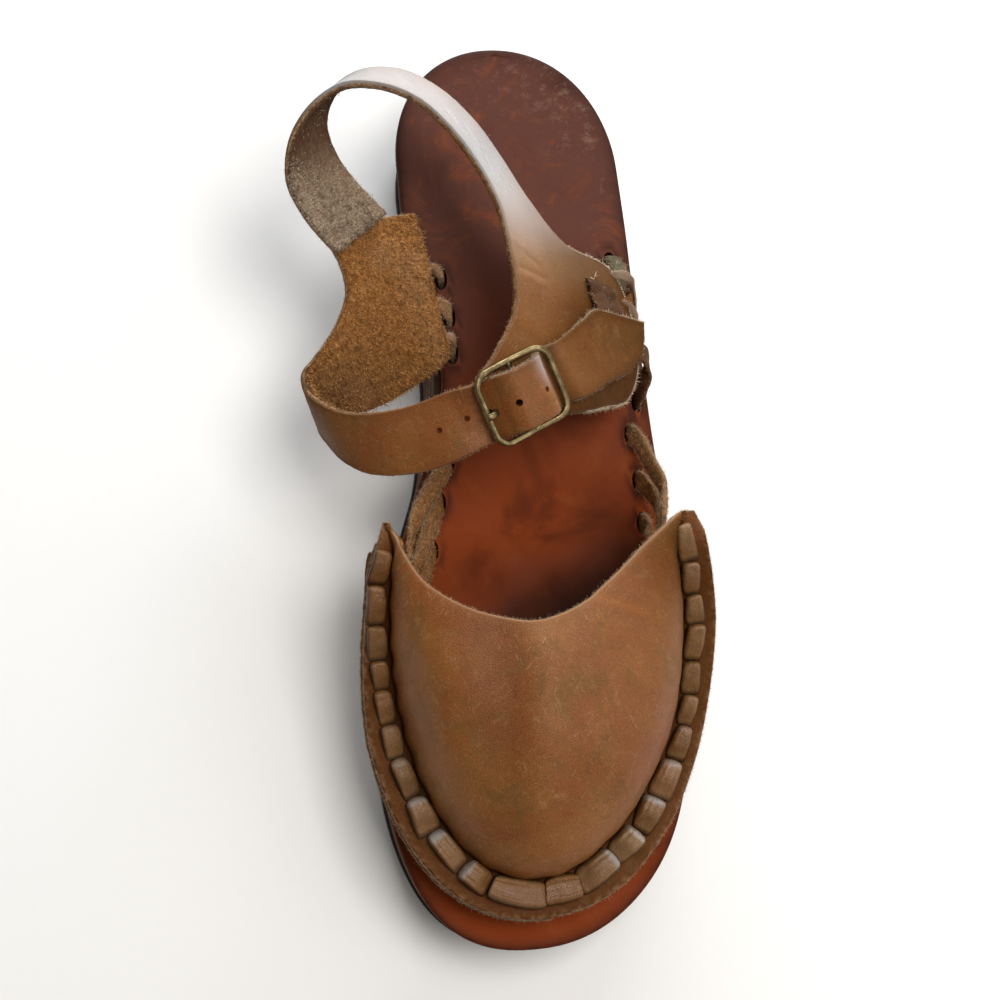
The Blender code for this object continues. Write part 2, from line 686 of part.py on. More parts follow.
def beside_sheet(pairs, at, across, lift):
    """Point beside a ruled sheet: ruling index, part of the way down it, lift off its middle."""
    knots = np.arange(len(pairs), dtype=float)
    tops = [tuple(pair[0]) for pair in pairs]
    lows = [tuple(pair[1]) for pair in pairs]
    top, low = (Vector(through(knots, edge, at)) for edge in (tops, lows))
    ahead = Vector(through(knots, tops, at + 0.1)).lerp(Vector(through(knots, lows, at + 0.1)), across)
    point = top.lerp(low, across)
    normal = (low - top).cross(ahead - point).normalized()
    return point + normal * lift * MM


def medial_pairs():
    pairs = [ends(row) for row in MEDIAL_FRONT_RULINGS]
    for row in STRAP_CREST:
        pairs.append((buckle_point(row.along, STRAP_HALF_WIDTH, row.lift),
                      buckle_point(row.along, -STRAP_HALF_WIDTH, row.lift)))
    return pairs + [ends(row) for row in MEDIAL_REAR_RULINGS]


def build_cuff(collection, surface):
    lateral = [ends(row) for row in LATERAL_RULINGS]
    leather_sheet("lateral_quarter_and_heel_strap", ruled_grid(lateral, 0, 3, CUFF_ACROSS),
                  CUFF_THICKNESS, 0.0, collection, surface)
    leather_sheet("medial_quarter_and_instep_strap", ruled_grid(medial_pairs(), 1, 2, CUFF_ACROSS),
                  CUFF_THICKNESS, 0.0, collection, surface)


# ---- buckle ----

def rounded_frame(length, width, corner, per_corner):
    """Points of a rounded rectangle in order, with the middles of its two side rails."""
    points = []
    for index, (sx, sy) in enumerate(((1, 1), (-1, 1), (-1, -1), (1, -1))):
        centre = ((length / 2 - corner) * sx, (width / 2 - corner) * sy)
        for k in range(per_corner + 1):
            angle = pi / 2 * (index + k / per_corner)
            points.append((centre[0] + corner * cos(angle), centre[1] + corner * sin(angle)))
        if index % 2 == 0:
            points.append((0.0, sy * width / 2))
    return points


def wire_mesh(name, points, radius, cyclic):
    """Round wire along points, as a closed mesh."""
    curve = bpy.data.curves.new(name, "CURVE")
    curve.dimensions = "3D"
    curve.bevel_depth = radius * MM
    curve.bevel_resolution = 2
    curve.use_fill_caps = True
    spline = curve.splines.new("POLY")
    spline.points.add(len(points) - 1)
    for target, point in zip(spline.points, points):
        target.co = (*point, 1.0)
    spline.use_cyclic_u = cyclic
    holder = bpy.data.objects.new(name, curve)
    bpy.context.scene.collection.objects.link(holder)
    bpy.context.view_layer.update()
    evaluated = holder.evaluated_get(bpy.context.evaluated_depsgraph_get())
    mesh = bpy.data.meshes.new_from_object(evaluated)
    bpy.data.objects.remove(holder, do_unlink=True)
    mesh.name = name
    return weld(mesh)


def build_buckle(collection, cutters, brass):
    half = (BUCKLE_WIDTH - BUCKLE_WIRE) / 2
    outline = rounded_frame(BUCKLE_LENGTH - BUCKLE_WIRE, BUCKLE_WIDTH - BUCKLE_WIRE, BUCKLE_CORNER, 4)
    frame_points = []
    half_length = (BUCKLE_LENGTH - BUCKLE_WIRE) / 2
    for along, across in outline:
        dip = BUCKLE_DIP * (1.0 - abs(along) / half_length) if abs(across) > half - 0.1 else 0.0
        frame_points.append(buckle_point(along, across, BUCKLE_LIFT - dip))
    frame = wire_mesh("buckle_frame", frame_points, BUCKLE_WIRE / 2, True)
    buckle = add_object(frame, collection, brass)
    bar_lift = BUCKLE_LIFT - BUCKLE_DIP
    bar_points = [buckle_point(0.0, -half, bar_lift), buckle_point(0.0, half, bar_lift)]
    bar = wire_mesh("buckle_centre_bar", bar_points, PIN_RADIUS, False)
    holder = bpy.data.objects.new(bar.name, bar)
    holder.hide_render = True
    holder.display_type = "WIRE"
    cutters.objects.link(holder)
    join = buckle.modifiers.new("centre bar", "BOOLEAN")
    join.operation = "UNION"
    join.object = holder


def build_prong(collection, brass):
    """Prong: it comes up through the strap and rests on the front bar."""
    bar = (BUCKLE_LENGTH - BUCKLE_WIRE) / 2
    rest = BUCKLE_LIFT + BUCKLE_WIRE / 2 + PIN_RADIUS + GAP
    points = [buckle_point(row.along - bar, PRONG_ACROSS, rest - row.drop) for row in PRONG_ROWS]
    mesh = wire_mesh("buckle_prong", points, PIN_RADIUS, False)
    add_object(mesh, collection, brass)


def build_chape(collection, surface):
    """Loop of thin leather that holds the centre bar on the base strap."""
    bar_lift = BUCKLE_LIFT - BUCKLE_DIP
    reach = PIN_RADIUS + GAP + CHAPE_THICKNESS
    path = [(CHAPE_TOP_END, bar_lift + reach - CHAPE_TOP_SAG), (CHAPE_FLAT, bar_lift + reach)]
    for k in range(7):
        angle = pi / 2 + pi * k / 6
        path.append((reach * cos(angle), bar_lift + reach * sin(angle)))
    path += [(CHAPE_FLAT, bar_lift - reach), (CHAPE_LOW_END, bar_lift - reach)]
    grid = []
    for along, lift in path:
        grid.append([buckle_point(along, side * CHAPE_WIDTH / 2, lift) for side in (-1, 1)])
    leather_sheet("buckle_chape", grid, CHAPE_THICKNESS, -1.0, collection, surface)


# ---- laces ----

def flat_lace(name, path, hints, collection, surface):
    """Flat thong through points in metres; the hints point across it at both ends."""
    steps = [(b - a).length for a, b in zip(path, path[1:])]
    knots = np.concatenate([[0.0], np.cumsum(steps)])
    count = max(6, round(knots[-1] / (LACE_STEP * MM)))
    centres = [Vector(through(knots, path, knots[-1] * i / count)) for i in range(count + 1)]
    profile = [(-0.5, -0.3), (-0.3, 0.5), (0.3, 0.5), (0.5, -0.3), (0.3, -0.5), (-0.3, -0.5)]
    points = []
    for i, centre in enumerate(centres):
        run = centres[min(i + 1, count)] - centres[max(i - 1, 0)]
        hint = Vector(hints[0]).lerp(Vector(hints[1]), min(2.0 * i / count, 1.0))
        across = (hint - run * hint.dot(run) / run.length_squared).normalized()
        up = run.cross(across).normalized()
        for sx, sz in profile:
            points.append(centre + (across * sx * LACE_WIDTH + up * sz * LACE_THICKNESS) * MM)
    mesh = closed_mesh(name, points, swept_faces(count + 1, len(profile)))
    add_object(mesh, collection, surface)


def from_hole(hole):
    """First two points of a lace: inside the mouth of its hole, and just over it."""
    top = footbed_top(hole.back)
    return [place(hole.x, hole.back, top - LACE_SUNK), place(hole.x, hole.back, top + LACE_CLEAR)]


def build_wing_laces(collection, surface):
    """Thongs from the footbed holes to the undersides of the wing tips."""
    for lace in WING_LACES:
        x = lace.hole.x + lace.lean[0]
        back = lace.hole.back + lace.lean[1]
        path = from_hole(lace.hole) + [place(x, back, footbed_top(lace.hole.back) + LEAN_LIFT)]
        path += [place(*point) for point in lace.route]
        flat_lace(lace.name, path, (ALONG_SHOE, lace.across), collection, surface)


def build_quarter_laces(side, holes, pairs, rulings, loop, collection, surface):
    """Loops from the footbed holes round the laced edge of one quarter."""
    for index, (hole, at) in enumerate(zip(holes, rulings)):
        path = from_hole(hole) + [beside_sheet(pairs, at, row.down, row.lift) for row in loop]
        name = f"{side}_quarter_lace_{index + 1}"
        flat_lace(name, path, (ALONG_SHOE, ALONG_SHOE), collection, surface)


def build_sandal():
    clear_scene()
    parts = new_collection("laced_ankle_strap_sandal")
    cutters = new_collection("cutters")
    rubber = material("black_rubber", (0.02, 0.018, 0.018), 0.7)
    edge_leather = material("dark_edge_leather", (0.06, 0.035, 0.022), 0.55)
    footbed_leather = material("footbed_leather", (0.20, 0.065, 0.03), 0.42)
    upper_leather = material("oiled_leather", (0.25, 0.12, 0.05), 0.5)
    suede = material("lace_leather", (0.29, 0.16, 0.075), 0.7)
    brass = material("aged_brass", (0.45, 0.34, 0.16), 0.4, 1.0)

    footbed = build_sole(parts, rubber, edge_leather, footbed_leather)
    cut_lace_holes(footbed, cutters)
    seam = Seam()
    build_vamp(seam, parts, upper_leather)
    seam_lace("vamp_seam_lace", seam, STITCH_LIFT, 1, STITCH_STEPS, parts, suede)
    below = -PLUG_THICKNESS - WALL_THICKNESS - 4.0 * GAP
    seam_lace("vamp_outer_lace", seam, below, -1, UNDER_STEPS, parts, suede)
    build_cuff(parts, upper_leather)
    build_buckle(parts, cutters, brass)
    build_prong(parts, brass)
    build_chape(parts, upper_leather)
    build_wing_laces(parts, suede)
    lateral = [ends(row) for row in LATERAL_RULINGS]
    build_quarter_laces("lateral", LATERAL_QUARTER_HOLES, lateral, LATERAL_LACE_RULINGS,
                        LATERAL_LOOP, parts, suede)
    medial = medial_pairs()
    first = len(medial) - len(MEDIAL_REAR_RULINGS)
    medial_rulings = [first + at for at in MEDIAL_LACE_RULINGS]
    build_quarter_laces("medial", MEDIAL_QUARTER_HOLES, medial, medial_rulings,
                        MEDIAL_LOOP, parts, suede)


build_sandal()
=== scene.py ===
import math

import bmesh
import bpy
import numpy as np
from mathutils import Matrix, Vector, noise


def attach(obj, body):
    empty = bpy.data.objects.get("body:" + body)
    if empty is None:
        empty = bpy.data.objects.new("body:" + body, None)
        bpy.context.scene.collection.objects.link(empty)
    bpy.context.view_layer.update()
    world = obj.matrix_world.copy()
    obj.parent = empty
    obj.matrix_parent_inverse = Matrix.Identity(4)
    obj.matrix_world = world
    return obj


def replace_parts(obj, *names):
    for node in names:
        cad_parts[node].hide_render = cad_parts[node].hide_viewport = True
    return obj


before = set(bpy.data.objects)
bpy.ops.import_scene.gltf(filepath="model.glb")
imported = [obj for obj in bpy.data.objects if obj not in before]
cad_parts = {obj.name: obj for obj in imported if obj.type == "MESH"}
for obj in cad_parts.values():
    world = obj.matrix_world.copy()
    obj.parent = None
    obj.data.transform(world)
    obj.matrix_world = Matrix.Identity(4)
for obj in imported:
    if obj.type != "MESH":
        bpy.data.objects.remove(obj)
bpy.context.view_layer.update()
print("frame loaded:", len(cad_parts), "nodes")

mm = 0.001
gap = 0.3


# numbers and curves, all in millimetres until a mesh is made

def through(knots, values, at):  # cubic through the knots, slopes from the neighbours
    knots = np.asarray(knots, float)
    values = np.asarray(values, float)
    at = np.asarray(at, float)
    slopes = np.gradient(values, knots, axis=0)
    i = np.clip(np.searchsorted(knots, at) - 1, 0, len(knots) - 2)
    span = knots[i + 1] - knots[i]
    t = (at - knots[i]) / span
    if values.ndim > 1:
        span, t = span[..., None], t[..., None]
    rise = 2 * t**3 - 3 * t**2
    return (values[i] * (rise + 1) - values[i + 1] * rise
            + slopes[i] * span * (t**3 - 2 * t**2 + t) + slopes[i + 1] * span * (t**3 - t**2))


def smoothStep(value, start, end):
    t = np.clip((np.asarray(value, float) - start) / (end - start), 0.0, 1.0)
    return t * t * (3.0 - 2.0 * t)


def hump(value, middle, wide):  # 1 at the middle, falling off softly to both sides
    return np.exp(-((value - middle) / wide) ** 2)


def unit(vectors):
    return vectors / np.maximum(np.linalg.norm(vectors, axis=-1, keepdims=True), 1e-12)


def runAlong(points):  # distance along a line of points, from its start
    return np.concatenate([[0], np.cumsum(np.linalg.norm(np.diff(points, axis=0), axis=1))])


def toWorld(points):  # (x, distance from the rear end, height) to metres
    points = np.asarray(points, float)
    return np.stack([points[..., 0], 35.0 - points[..., 1], points[..., 2]], axis=-1) * mm


def spaced(count, nearEdge=(0.0, 0.0012, 0.004, 0.009, 0.016)):  # 0 to 1, closer together at both ends
    inner = np.linspace(nearEdge[-1], 1 - nearEdge[-1], count)
    return np.concatenate([nearEdge[:-1], inner, 1 - np.array(nearEdge[:-1])[::-1]])


def lumps(points, size, seed=0.0, octaves=2):  # soft noise, points in metres, size in mm
    flat = points.reshape(-1, 3) / (size * mm)
    shift = Vector((seed * 3.17, seed * 1.31, seed * 7.77))
    found = [noise.fractal(Vector(p) + shift, 1.0, 2.0, octaves) for p in flat]
    return np.array(found).reshape(points.shape[:-1])


# finishes

def addNode(tree, kind, settings=None, inputs=None):
    node = tree.nodes.new(kind)
    for name, value in (settings or {}).items():
        setattr(node, name, value)
    for name, value in (inputs or {}).items():
        socket = node.inputs[name]
        if isinstance(value, bpy.types.NodeSocket):
            tree.links.new(value, socket)
        else:
            socket.default_value = value
    return node


def noiseOf(tree, place, scale, detail=3.0, roughness=0.55, distortion=0.0):
    return addNode(tree, "ShaderNodeTexNoise", None, {
        "Vector": place, "Scale": scale, "Detail": detail, "Roughness": roughness,
        "Distortion": distortion}).outputs["Fac"]


def cellsOf(tree, place, scale, feature="F1", output="Distance"):
    return addNode(tree, "ShaderNodeTexVoronoi", {"feature": feature},
                   {"Vector": place, "Scale": scale}).outputs[output]


def spread(tree, value, low, high, outLow=0.0, outHigh=1.0):
    return addNode(tree, "ShaderNodeMapRange", {"interpolation_type": "SMOOTHSTEP"}, {
        "Value": value, "From Min": low, "From Max": high,
        "To Min": outLow, "To Max": outHigh}).outputs["Result"]


def sums(tree, kind, a, b):
    return addNode(tree, "ShaderNodeMath", {"operation": kind}, {0: a, 1: b}).outputs[0]


def blendColour(tree, share, a, b, kind="MIX"):
    node = addNode(tree, "ShaderNodeMix", {"data_type": "RGBA", "blend_type": kind})
    for index, value in ((0, share), (6, a), (7, b)):
        if isinstance(value, bpy.types.NodeSocket):
            tree.links.new(value, node.inputs[index])
        elif index == 0:
            node.inputs[index].default_value = value
        else:
            node.inputs[index].default_value = (*value, 1.0)
    return node.outputs[2]


def coat(tree, colour, *layers):  # a layer is where, from, to, least and most of it, and its colour
    for value, low, high, least, most, over in layers:
        colour = blendColour(tree, spread(tree, value, low, high, least, most), colour, over)
    return colour


def weighed(tree, *parts):  # sum of values, each with its weight
    whole = None
    for value, weight in parts:
        part = sums(tree, "MULTIPLY", value, weight)
        whole = part if whole is None else sums(tree, "ADD", whole, part)
    return whole


def painted(tree, name):  # value painted on the mesh by its builder
    return addNode(tree, "ShaderNodeAttribute", {"attribute_name": name}).outputs["Fac"]


def newFinish(name):
    finish = bpy.data.materials.new(name)
    finish.use_nodes = True
    tree = finish.node_tree
    shader = tree.nodes["Principled BSDF"]
    place = addNode(tree, "ShaderNodeTexCoord").outputs["Object"]
    return finish, tree, shader, place


def setBump(tree, shader, height, depth, strength=1.0):
    bump = addNode(tree, "ShaderNodeBump", None,
                   {"Height": height, "Distance": depth * mm, "Strength": strength})
    tree.links.new(bump.outputs["Normal"], shader.inputs["Normal"])


grainLook = {
    # the warm pale colour serves for scratches and wear, and for painted warm highlights; the pale bluish
    # one is a painted highlight; the darkest serves for pores and painted shade
    "base": (0.272, 0.100, 0.019), "olive": (0.176, 0.080, 0.014), "ruddy": (0.240, 0.070, 0.012),
    "dusty": (0.37, 0.185, 0.075), "wearAndSheen": (0.56, 0.36, 0.20), "crease": (0.030, 0.011, 0.004),
    "paintedSheen": (0.43, 0.50, 0.54), "gloss": 0.30, "roughness": 0.47, "grainDepth": 0.12,
    # turn about the vertical, length and breadth of the hairline scratches in mm
    "scratches": [(0.9, 3.6, 0.24), (-0.6, 2.4, 0.20), (1.9, 5.0, 0.24), (0.2, 1.6, 0.16)],
}


def grainLeather(name, look=grainLook, tint=1.0):
    finish, tree, shader, place = newFinish(name)
    tone = lambda key: tuple(c * tint for c in look[key])
    clouds = noiseOf(tree, place, 24, 5, 0.62, 0.6)
    patches = noiseOf(tree, place, 75, 6, 0.66, 1.0)
    dust = noiseOf(tree, place, 210, 7, 0.75, 0.8)
    colour = coat(tree, tone("ruddy"), (clouds, 0.38, 0.60, 0.0, 1.0, tone("base")),
                  (patches, 0.48, 0.68, 0.0, 0.7, tone("olive")),
                  (dust, 0.52, 0.74, 0.0, 0.55, tone("dusty")),
                  (dust, 0.26, 0.44, 0.45, 0.0, tone("crease")))
    for number, (turn, length, breadth) in enumerate(look["scratches"]):
        along = addNode(tree, "ShaderNodeMapping", {"vector_type": "TEXTURE"}, {
            "Vector": place, "Rotation": (0.0, 0.0, turn),
            "Location": (number * 0.31, number * 0.17, 0.0),
            "Scale": (length * mm, breadth * mm, 2.0 * mm)})
        lines = noiseOf(tree, along.outputs["Vector"], 1.0, 1, 0.5, 0.25)
        where = spread(tree, noiseOf(tree, place, 55 + 20 * number, 2), 0.42, 0.62)
        mark = sums(tree, "MULTIPLY", spread(tree, lines, 0.68, 0.76, 0.0, 0.45), where)
        colour = blendColour(tree, mark, colour, tone("wearAndSheen"))
    pebbles = cellsOf(tree, place, 1500, "DISTANCE_TO_EDGE")
    fine = noiseOf(tree, place, 2600, 4, 0.7)
    pores = spread(tree, pebbles, 0.0, 0.22)
    colour = coat(tree, colour, (pores, 0.0, 1.0, 0.20, 0.0, tone("crease")),
                  (fine, 0.36, 0.52, 0.22, 0.0, tone("crease")))
    # painted shade, wear with painted warm highlights, and a painted pale highlight, each laid over the
    # colour from its attribute
    for mark, over in (("shadow", tone("crease")), ("wearAndSheen", tone("wearAndSheen")), ("paintedSheen", look["paintedSheen"])):
        colour = blendColour(tree, painted(tree, mark), colour, over)
    tree.links.new(colour, shader.inputs["Base Color"])
    rough = spread(tree, patches, 0.3, 0.7, look["roughness"] - 0.08, look["roughness"] + 0.10)
    polish = sums(tree, "MULTIPLY", painted(tree, "paintedSheen"), 0.28)
    tree.links.new(sums(tree, "SUBTRACT", rough, polish), shader.inputs["Roughness"])
    gloss = spread(tree, painted(tree, "paintedSheen"), 0.0, 0.6, look["gloss"], 0.9)
    dull = spread(tree, painted(tree, "shadow"), 0.0, 0.7, 1.0, 0.12)
    tree.links.new(sums(tree, "MULTIPLY", gloss, dull), shader.inputs["Specular IOR Level"])
    setBump(tree, shader, weighed(tree, (pores, 0.5), (fine, 0.6), (dust, 0.8)), look["grainDepth"], 0.6)
    return finish


suedeLook = {
    "base": (0.37, 0.150, 0.036), "dark": (0.055, 0.018, 0.004), "light": (0.72, 0.40, 0.15),
    "grey": (0.27, 0.185, 0.118), "greyTips": (0.46, 0.37, 0.28), "roughness": 0.92, "napDepth": 0.8,
}


def suede(name, look=suedeLook, grey=0.0, size=1.0):
    finish, tree, shader, place = newFinish(name)
    nap = noiseOf(tree, place, 820 / size, 5, 0.68, 0.9)
    specks = noiseOf(tree, place, 1900 / size, 3, 0.7, 0.4)
    clouds = noiseOf(tree, place, 45, 3, 0.6)
    base = tuple(a * (1 - grey) + b * grey for a, b in zip(look["base"], look["grey"]))
    colour = coat(tree, base, (nap, 0.38, 0.58, 0.62, 0.0, look["dark"]),
                  (nap, 0.55, 0.72, 0.0, 0.8, look["light"]), (specks, 0.60, 0.74, 0.0, 0.55, look["dark"]),
                  (clouds, 0.4, 0.7, 0.0, 0.3, look["grey"]))
    greyed = coat(tree, look["grey"], (nap, 0.40, 0.66, 0.0, 1.0, look["greyTips"]))
    colour = blendColour(tree, painted(tree, "grey"), colour, greyed)
    colour = blendColour(tree, painted(tree, "shadow"), colour, look["dark"])
    tree.links.new(colour, shader.inputs["Base Color"])
    setBump(tree, shader, weighed(tree, (nap, 0.8), (specks, 0.2)), look["napDepth"], 0.9)
    shader.inputs["Roughness"].default_value = look["roughness"]
    shader.inputs["Specular IOR Level"].default_value = 0.15
    return finish


rawEdgeLook = {"pale": (0.40, 0.25, 0.135), "mid": (0.20, 0.10, 0.045), "dark": (0.060, 0.027, 0.011)}


def rawEdge(name, look=rawEdgeLook):
    finish, tree, shader, place = newFinish(name)
    strands = noiseOf(tree, place, 1300, 5, 0.7, 0.6)
    layers = noiseOf(tree, place, 420, 3, 0.6)
    colour = coat(tree, look["mid"], (strands, 0.40, 0.62, 0.0, 1.0, look["pale"]),
                  (layers, 0.46, 0.66, 0.0, 0.7, look["dark"]))
    tree.links.new(colour, shader.inputs["Base Color"])
    setBump(tree, shader, strands, 0.35, 0.9)
    shader.inputs["Roughness"].default_value = 0.95
    shader.inputs["Specular IOR Level"].default_value = 0.2
    return finish


footbedLook = {
    "front": (0.250, 0.042, 0.0055), "heel": (0.098, 0.033, 0.022), "rim": (0.022, 0.007, 0.004),
    "streak": (0.290, 0.066, 0.012), "scuff": (0.25, 0.15, 0.11), "roughness": 0.58,
}


def footbedLeather(name, look=footbedLook):
    finish, tree, shader, place = newFinish(name)
    axes = addNode(tree, "ShaderNodeSeparateXYZ", None, {"Vector": place}).outputs
    toHeel = spread(tree, axes["Y"], -0.125, -0.015)
    colour = blendColour(tree, toHeel, look["front"], look["heel"])
    streaks = noiseOf(tree, place, 60, 6, 0.7, 1.2)
    clouds = noiseOf(tree, place, 34, 4, 0.6, 0.6)
    scuffs = noiseOf(tree, place, 420, 6, 0.8, 0.3)
    colour = coat(tree, colour, (streaks, 0.48, 0.72, 0.0, 0.45, look["streak"]),
                  (clouds, 0.52, 0.76, 0.0, 0.5, look["rim"]), (scuffs, 0.66, 0.80, 0.0, 0.4, look["scuff"]))
    flecks = noiseOf(tree, place, 260, 8, 0.82, 0.2)
    rubbed = sums(tree, "MULTIPLY", spread(tree, flecks, 0.50, 0.68, 0.0, 0.8), painted(tree, "wearAndSheen"))
    colour = blendColour(tree, rubbed, colour, look["scuff"])
    # the footbed's dark edge and its painted shade (throat, beside the heel strap) take the rim colour
    colour = blendColour(tree, painted(tree, "shadow"), colour, look["rim"])
    tree.links.new(colour, shader.inputs["Base Color"])
    rough = spread(tree, clouds, 0.3, 0.7, look["roughness"] - 0.06, look["roughness"] + 0.12)
    tree.links.new(rough, shader.inputs["Roughness"])
    fine = noiseOf(tree, place, 2400, 4, 0.62)
    setBump(tree, shader, weighed(tree, (fine, 0.7), (scuffs, 0.3)), 0.07, 0.6)
    shader.inputs["Specular IOR Level"].default_value = 0.08
    return finish


wedgeLook = {"base": (0.054, 0.025, 0.010), "light": (0.140, 0.067, 0.023), "dark": (0.010, 0.006, 0.005),
             "roughness": 0.66}


def wedgeStack(name, look=wedgeLook):
    finish, tree, shader, place = newFinish(name)
    flat = addNode(tree, "ShaderNodeMapping", None, {"Vector": place, "Scale": (90.0, 90.0, 1500.0)})
    fibres = noiseOf(tree, flat.outputs["Vector"], 1.0, 5, 0.7, 0.2)
    specks = noiseOf(tree, place, 900, 4, 0.7)
    colour = coat(tree, look["base"], (fibres, 0.42, 0.70, 0.0, 1.0, look["light"]),
                  (specks, 0.62, 0.78, 0.0, 0.5, look["light"]))
    colour = blendColour(tree, painted(tree, "shadow"), colour, look["dark"])
    tree.links.new(colour, shader.inputs["Base Color"])
    setBump(tree, shader, weighed(tree, (fibres, 0.7), (specks, 0.3)), 0.18, 0.7)
    shader.inputs["Roughness"].default_value = look["roughness"]
    shader.inputs["Specular IOR Level"].default_value = 0.2
    return finish


rubberLook = {"black": (0.016, 0.014, 0.014), "dusty": (0.055, 0.045, 0.038)}


def soleRubber(name, look=rubberLook):
    finish, tree, shader, place = newFinish(name)
    grit = noiseOf(tree, place, 1500, 4, 0.7)
    dust = noiseOf(tree, place, 70, 4, 0.65, 0.7)
    colour = coat(tree, look["black"], (dust, 0.5, 0.75, 0.0, 0.6, look["dusty"]))
    tree.links.new(colour, shader.inputs["Base Color"])
    setBump(tree, shader, grit, 0.12, 0.6)
    tree.links.new(spread(tree, dust, 0.3, 0.8, 0.62, 0.85), shader.inputs["Roughness"])
    shader.inputs["Specular IOR Level"].default_value = 0.25
    return finish


brassLook = {"bright": (0.44, 0.34, 0.17), "aged": (0.155, 0.112, 0.052), "dark": (0.024, 0.019, 0.011)}


def agedBrass(name, look=brassLook):
    finish, tree, shader, place = newFinish(name)
    clouds = noiseOf(tree, place, 230, 5, 0.65, 0.8)
    spots = noiseOf(tree, place, 1100, 4, 0.7, 0.5)
    colour = coat(tree, look["aged"], (clouds, 0.32, 0.80, 0.0, 1.0, look["bright"]),
                  (spots, 0.56, 0.76, 0.0, 0.45, look["dark"]))
    colour = blendColour(tree, painted(tree, "shadow"), colour, look["dark"])
    tree.links.new(colour, shader.inputs["Base Color"])
    tree.links.new(spread(tree, spots, 0.35, 0.7, 0.30, 0.58), shader.inputs["Roughness"])
    setBump(tree, shader, spots, 0.06, 0.6)
    shader.inputs["Metallic"].default_value = 1.0
    return finish


def laceLeather(name, base, olive, ruddy, dusty=grainLook["dusty"], gloss=grainLook["gloss"], tint=1.0):
    look = dict(grainLook, base=base, olive=olive, ruddy=ruddy, dusty=dusty, gloss=gloss)
    return grainLeather(name, look, tint)


upperGrain = grainLeather("upperGrain")
laceGrain = grainLeather("laceGrain", dict(
    grainLook, base=(0.245, 0.118, 0.034), olive=(0.160, 0.086, 0.022), ruddy=(0.215, 0.086, 0.020),
    gloss=0.5, roughness=0.36, grainDepth=0.18))
marginGrain = grainLeather("marginGrain", dict(grainLook, roughness=0.62, grainDepth=0.22, gloss=0.12), 0.62)
quarterSuede = suede("quarterSuede")
laceSuede = suede("laceSuede", dict(suedeLook, napDepth=0.5), 0.55, 0.7)
wingSuede = suede("wingSuede", dict(suedeLook, base=(0.26, 0.105, 0.025), napDepth=0.5), 0.12, 0.7)
laceSmooth = laceLeather("laceSmooth", (0.30, 0.165, 0.085), (0.20, 0.12, 0.065), (0.26, 0.13, 0.06))
laceDark = laceLeather("laceDark", (0.150, 0.066, 0.031), (0.100, 0.048, 0.022), (0.125, 0.050, 0.022),
                       (0.19, 0.10, 0.055), 0.06, 0.66)
laceGrey = suede("laceGrey", dict(suedeLook, napDepth=0.5, grey=(0.125, 0.100, 0.058),
                                  light=(0.42, 0.35, 0.23), dark=(0.030, 0.023, 0.013)), 1.0, 0.7)
lacePale = laceLeather("lacePale", (0.40, 0.285, 0.205), (0.27, 0.175, 0.115), (0.31, 0.20, 0.13),
                       (0.55, 0.44, 0.35))
cutEdge = rawEdge("cutEdge")
fibreTones = {
    "fibrePale": ((0.74, 0.57, 0.40), (0.50, 0.35, 0.21), (0.24, 0.14, 0.065)),
    "fibreWhite": ((0.88, 0.76, 0.60), (0.62, 0.47, 0.31), (0.30, 0.19, 0.10)),
    "fibreOchre": ((0.80, 0.46, 0.18), (0.45, 0.20, 0.055), (0.10, 0.036, 0.008)),
    "fibreGrey": ((0.80, 0.66, 0.50), (0.36, 0.26, 0.175), (0.09, 0.056, 0.034)),
}
fibrePale, fibreWhite, fibreOchre, fibreGrey = (
    rawEdge(name, dict(zip(("pale", "mid", "dark"), tones))) for name, tones in fibreTones.items())
insole = footbedLeather("insole")
wedge = wedgeStack("wedge")
rubber = soleRubber("rubber")
brass = agedBrass("brass")
print("finishes made")


# meshes from arrays

def makeMesh(name, points, faces, finishes, faceFinish=None, marks=None, smooth=True):
    mesh = bpy.data.meshes.new(name)
    mesh.from_pydata(np.asarray(points, float).reshape(-1, 3).tolist(), [], [tuple(f) for f in faces])
    for finish in finishes:
        mesh.materials.append(finish)
    if faceFinish is not None:
        mesh.polygons.foreach_set("material_index", np.asarray(faceFinish, np.int32))
    for mark, values in (marks or {}).items():
        layer = mesh.attributes.new(mark, "FLOAT", "POINT")
        layer.data.foreach_set("value", np.asarray(values, np.float32).ravel())
    if smooth:
        mesh.shade_smooth()
    mesh.update()
    piece = bpy.data.objects.new(name, mesh)
    bpy.context.scene.collection.objects.link(piece)
    return piece


def faceOutward(piece, weld=True):
    shape = bmesh.new()
    shape.from_mesh(piece.data)
    if weld:
        bmesh.ops.remove_doubles(shape, verts=shape.verts, dist=0.000002)
    bmesh.ops.recalc_face_normals(shape, faces=shape.faces)
    shape.to_mesh(piece.data)
    shape.free()
    return piece


def gridFaces(rows, columns, start=0, flip=False):
    a = (np.arange(rows - 1)[:, None] * columns + np.arange(columns - 1)[None, :]).ravel() + start
    quads = np.stack([a, a + 1, a + columns + 1, a + columns], axis=1)
    return quads[:, ::-1] if flip else quads


def gridBorder(rows, columns):  # the numbers of a grid's outer points, once round
    return np.concatenate([
        np.arange(columns - 1), np.arange(rows - 1) * columns + columns - 1,
        (rows - 1) * columns + np.arange(columns - 1, 0, -1), np.arange(rows - 1, 0, -1) * columns])


def rimFaces(border, count):  # joins a grid's border to that of the grid which follows it
    ahead = np.roll(border, -1)
    return np.stack([border, border + count, ahead + count, ahead], axis=1)


def ringFaces(rings, around, start=0, closed=False):
    faces = []
    for i in range(rings if closed else rings - 1):
        a, b = start + i * around, start + (i + 1) % rings * around
        faces += [(a + j, a + (j + 1) % around, b + (j + 1) % around, b + j) for j in range(around)]
    return faces


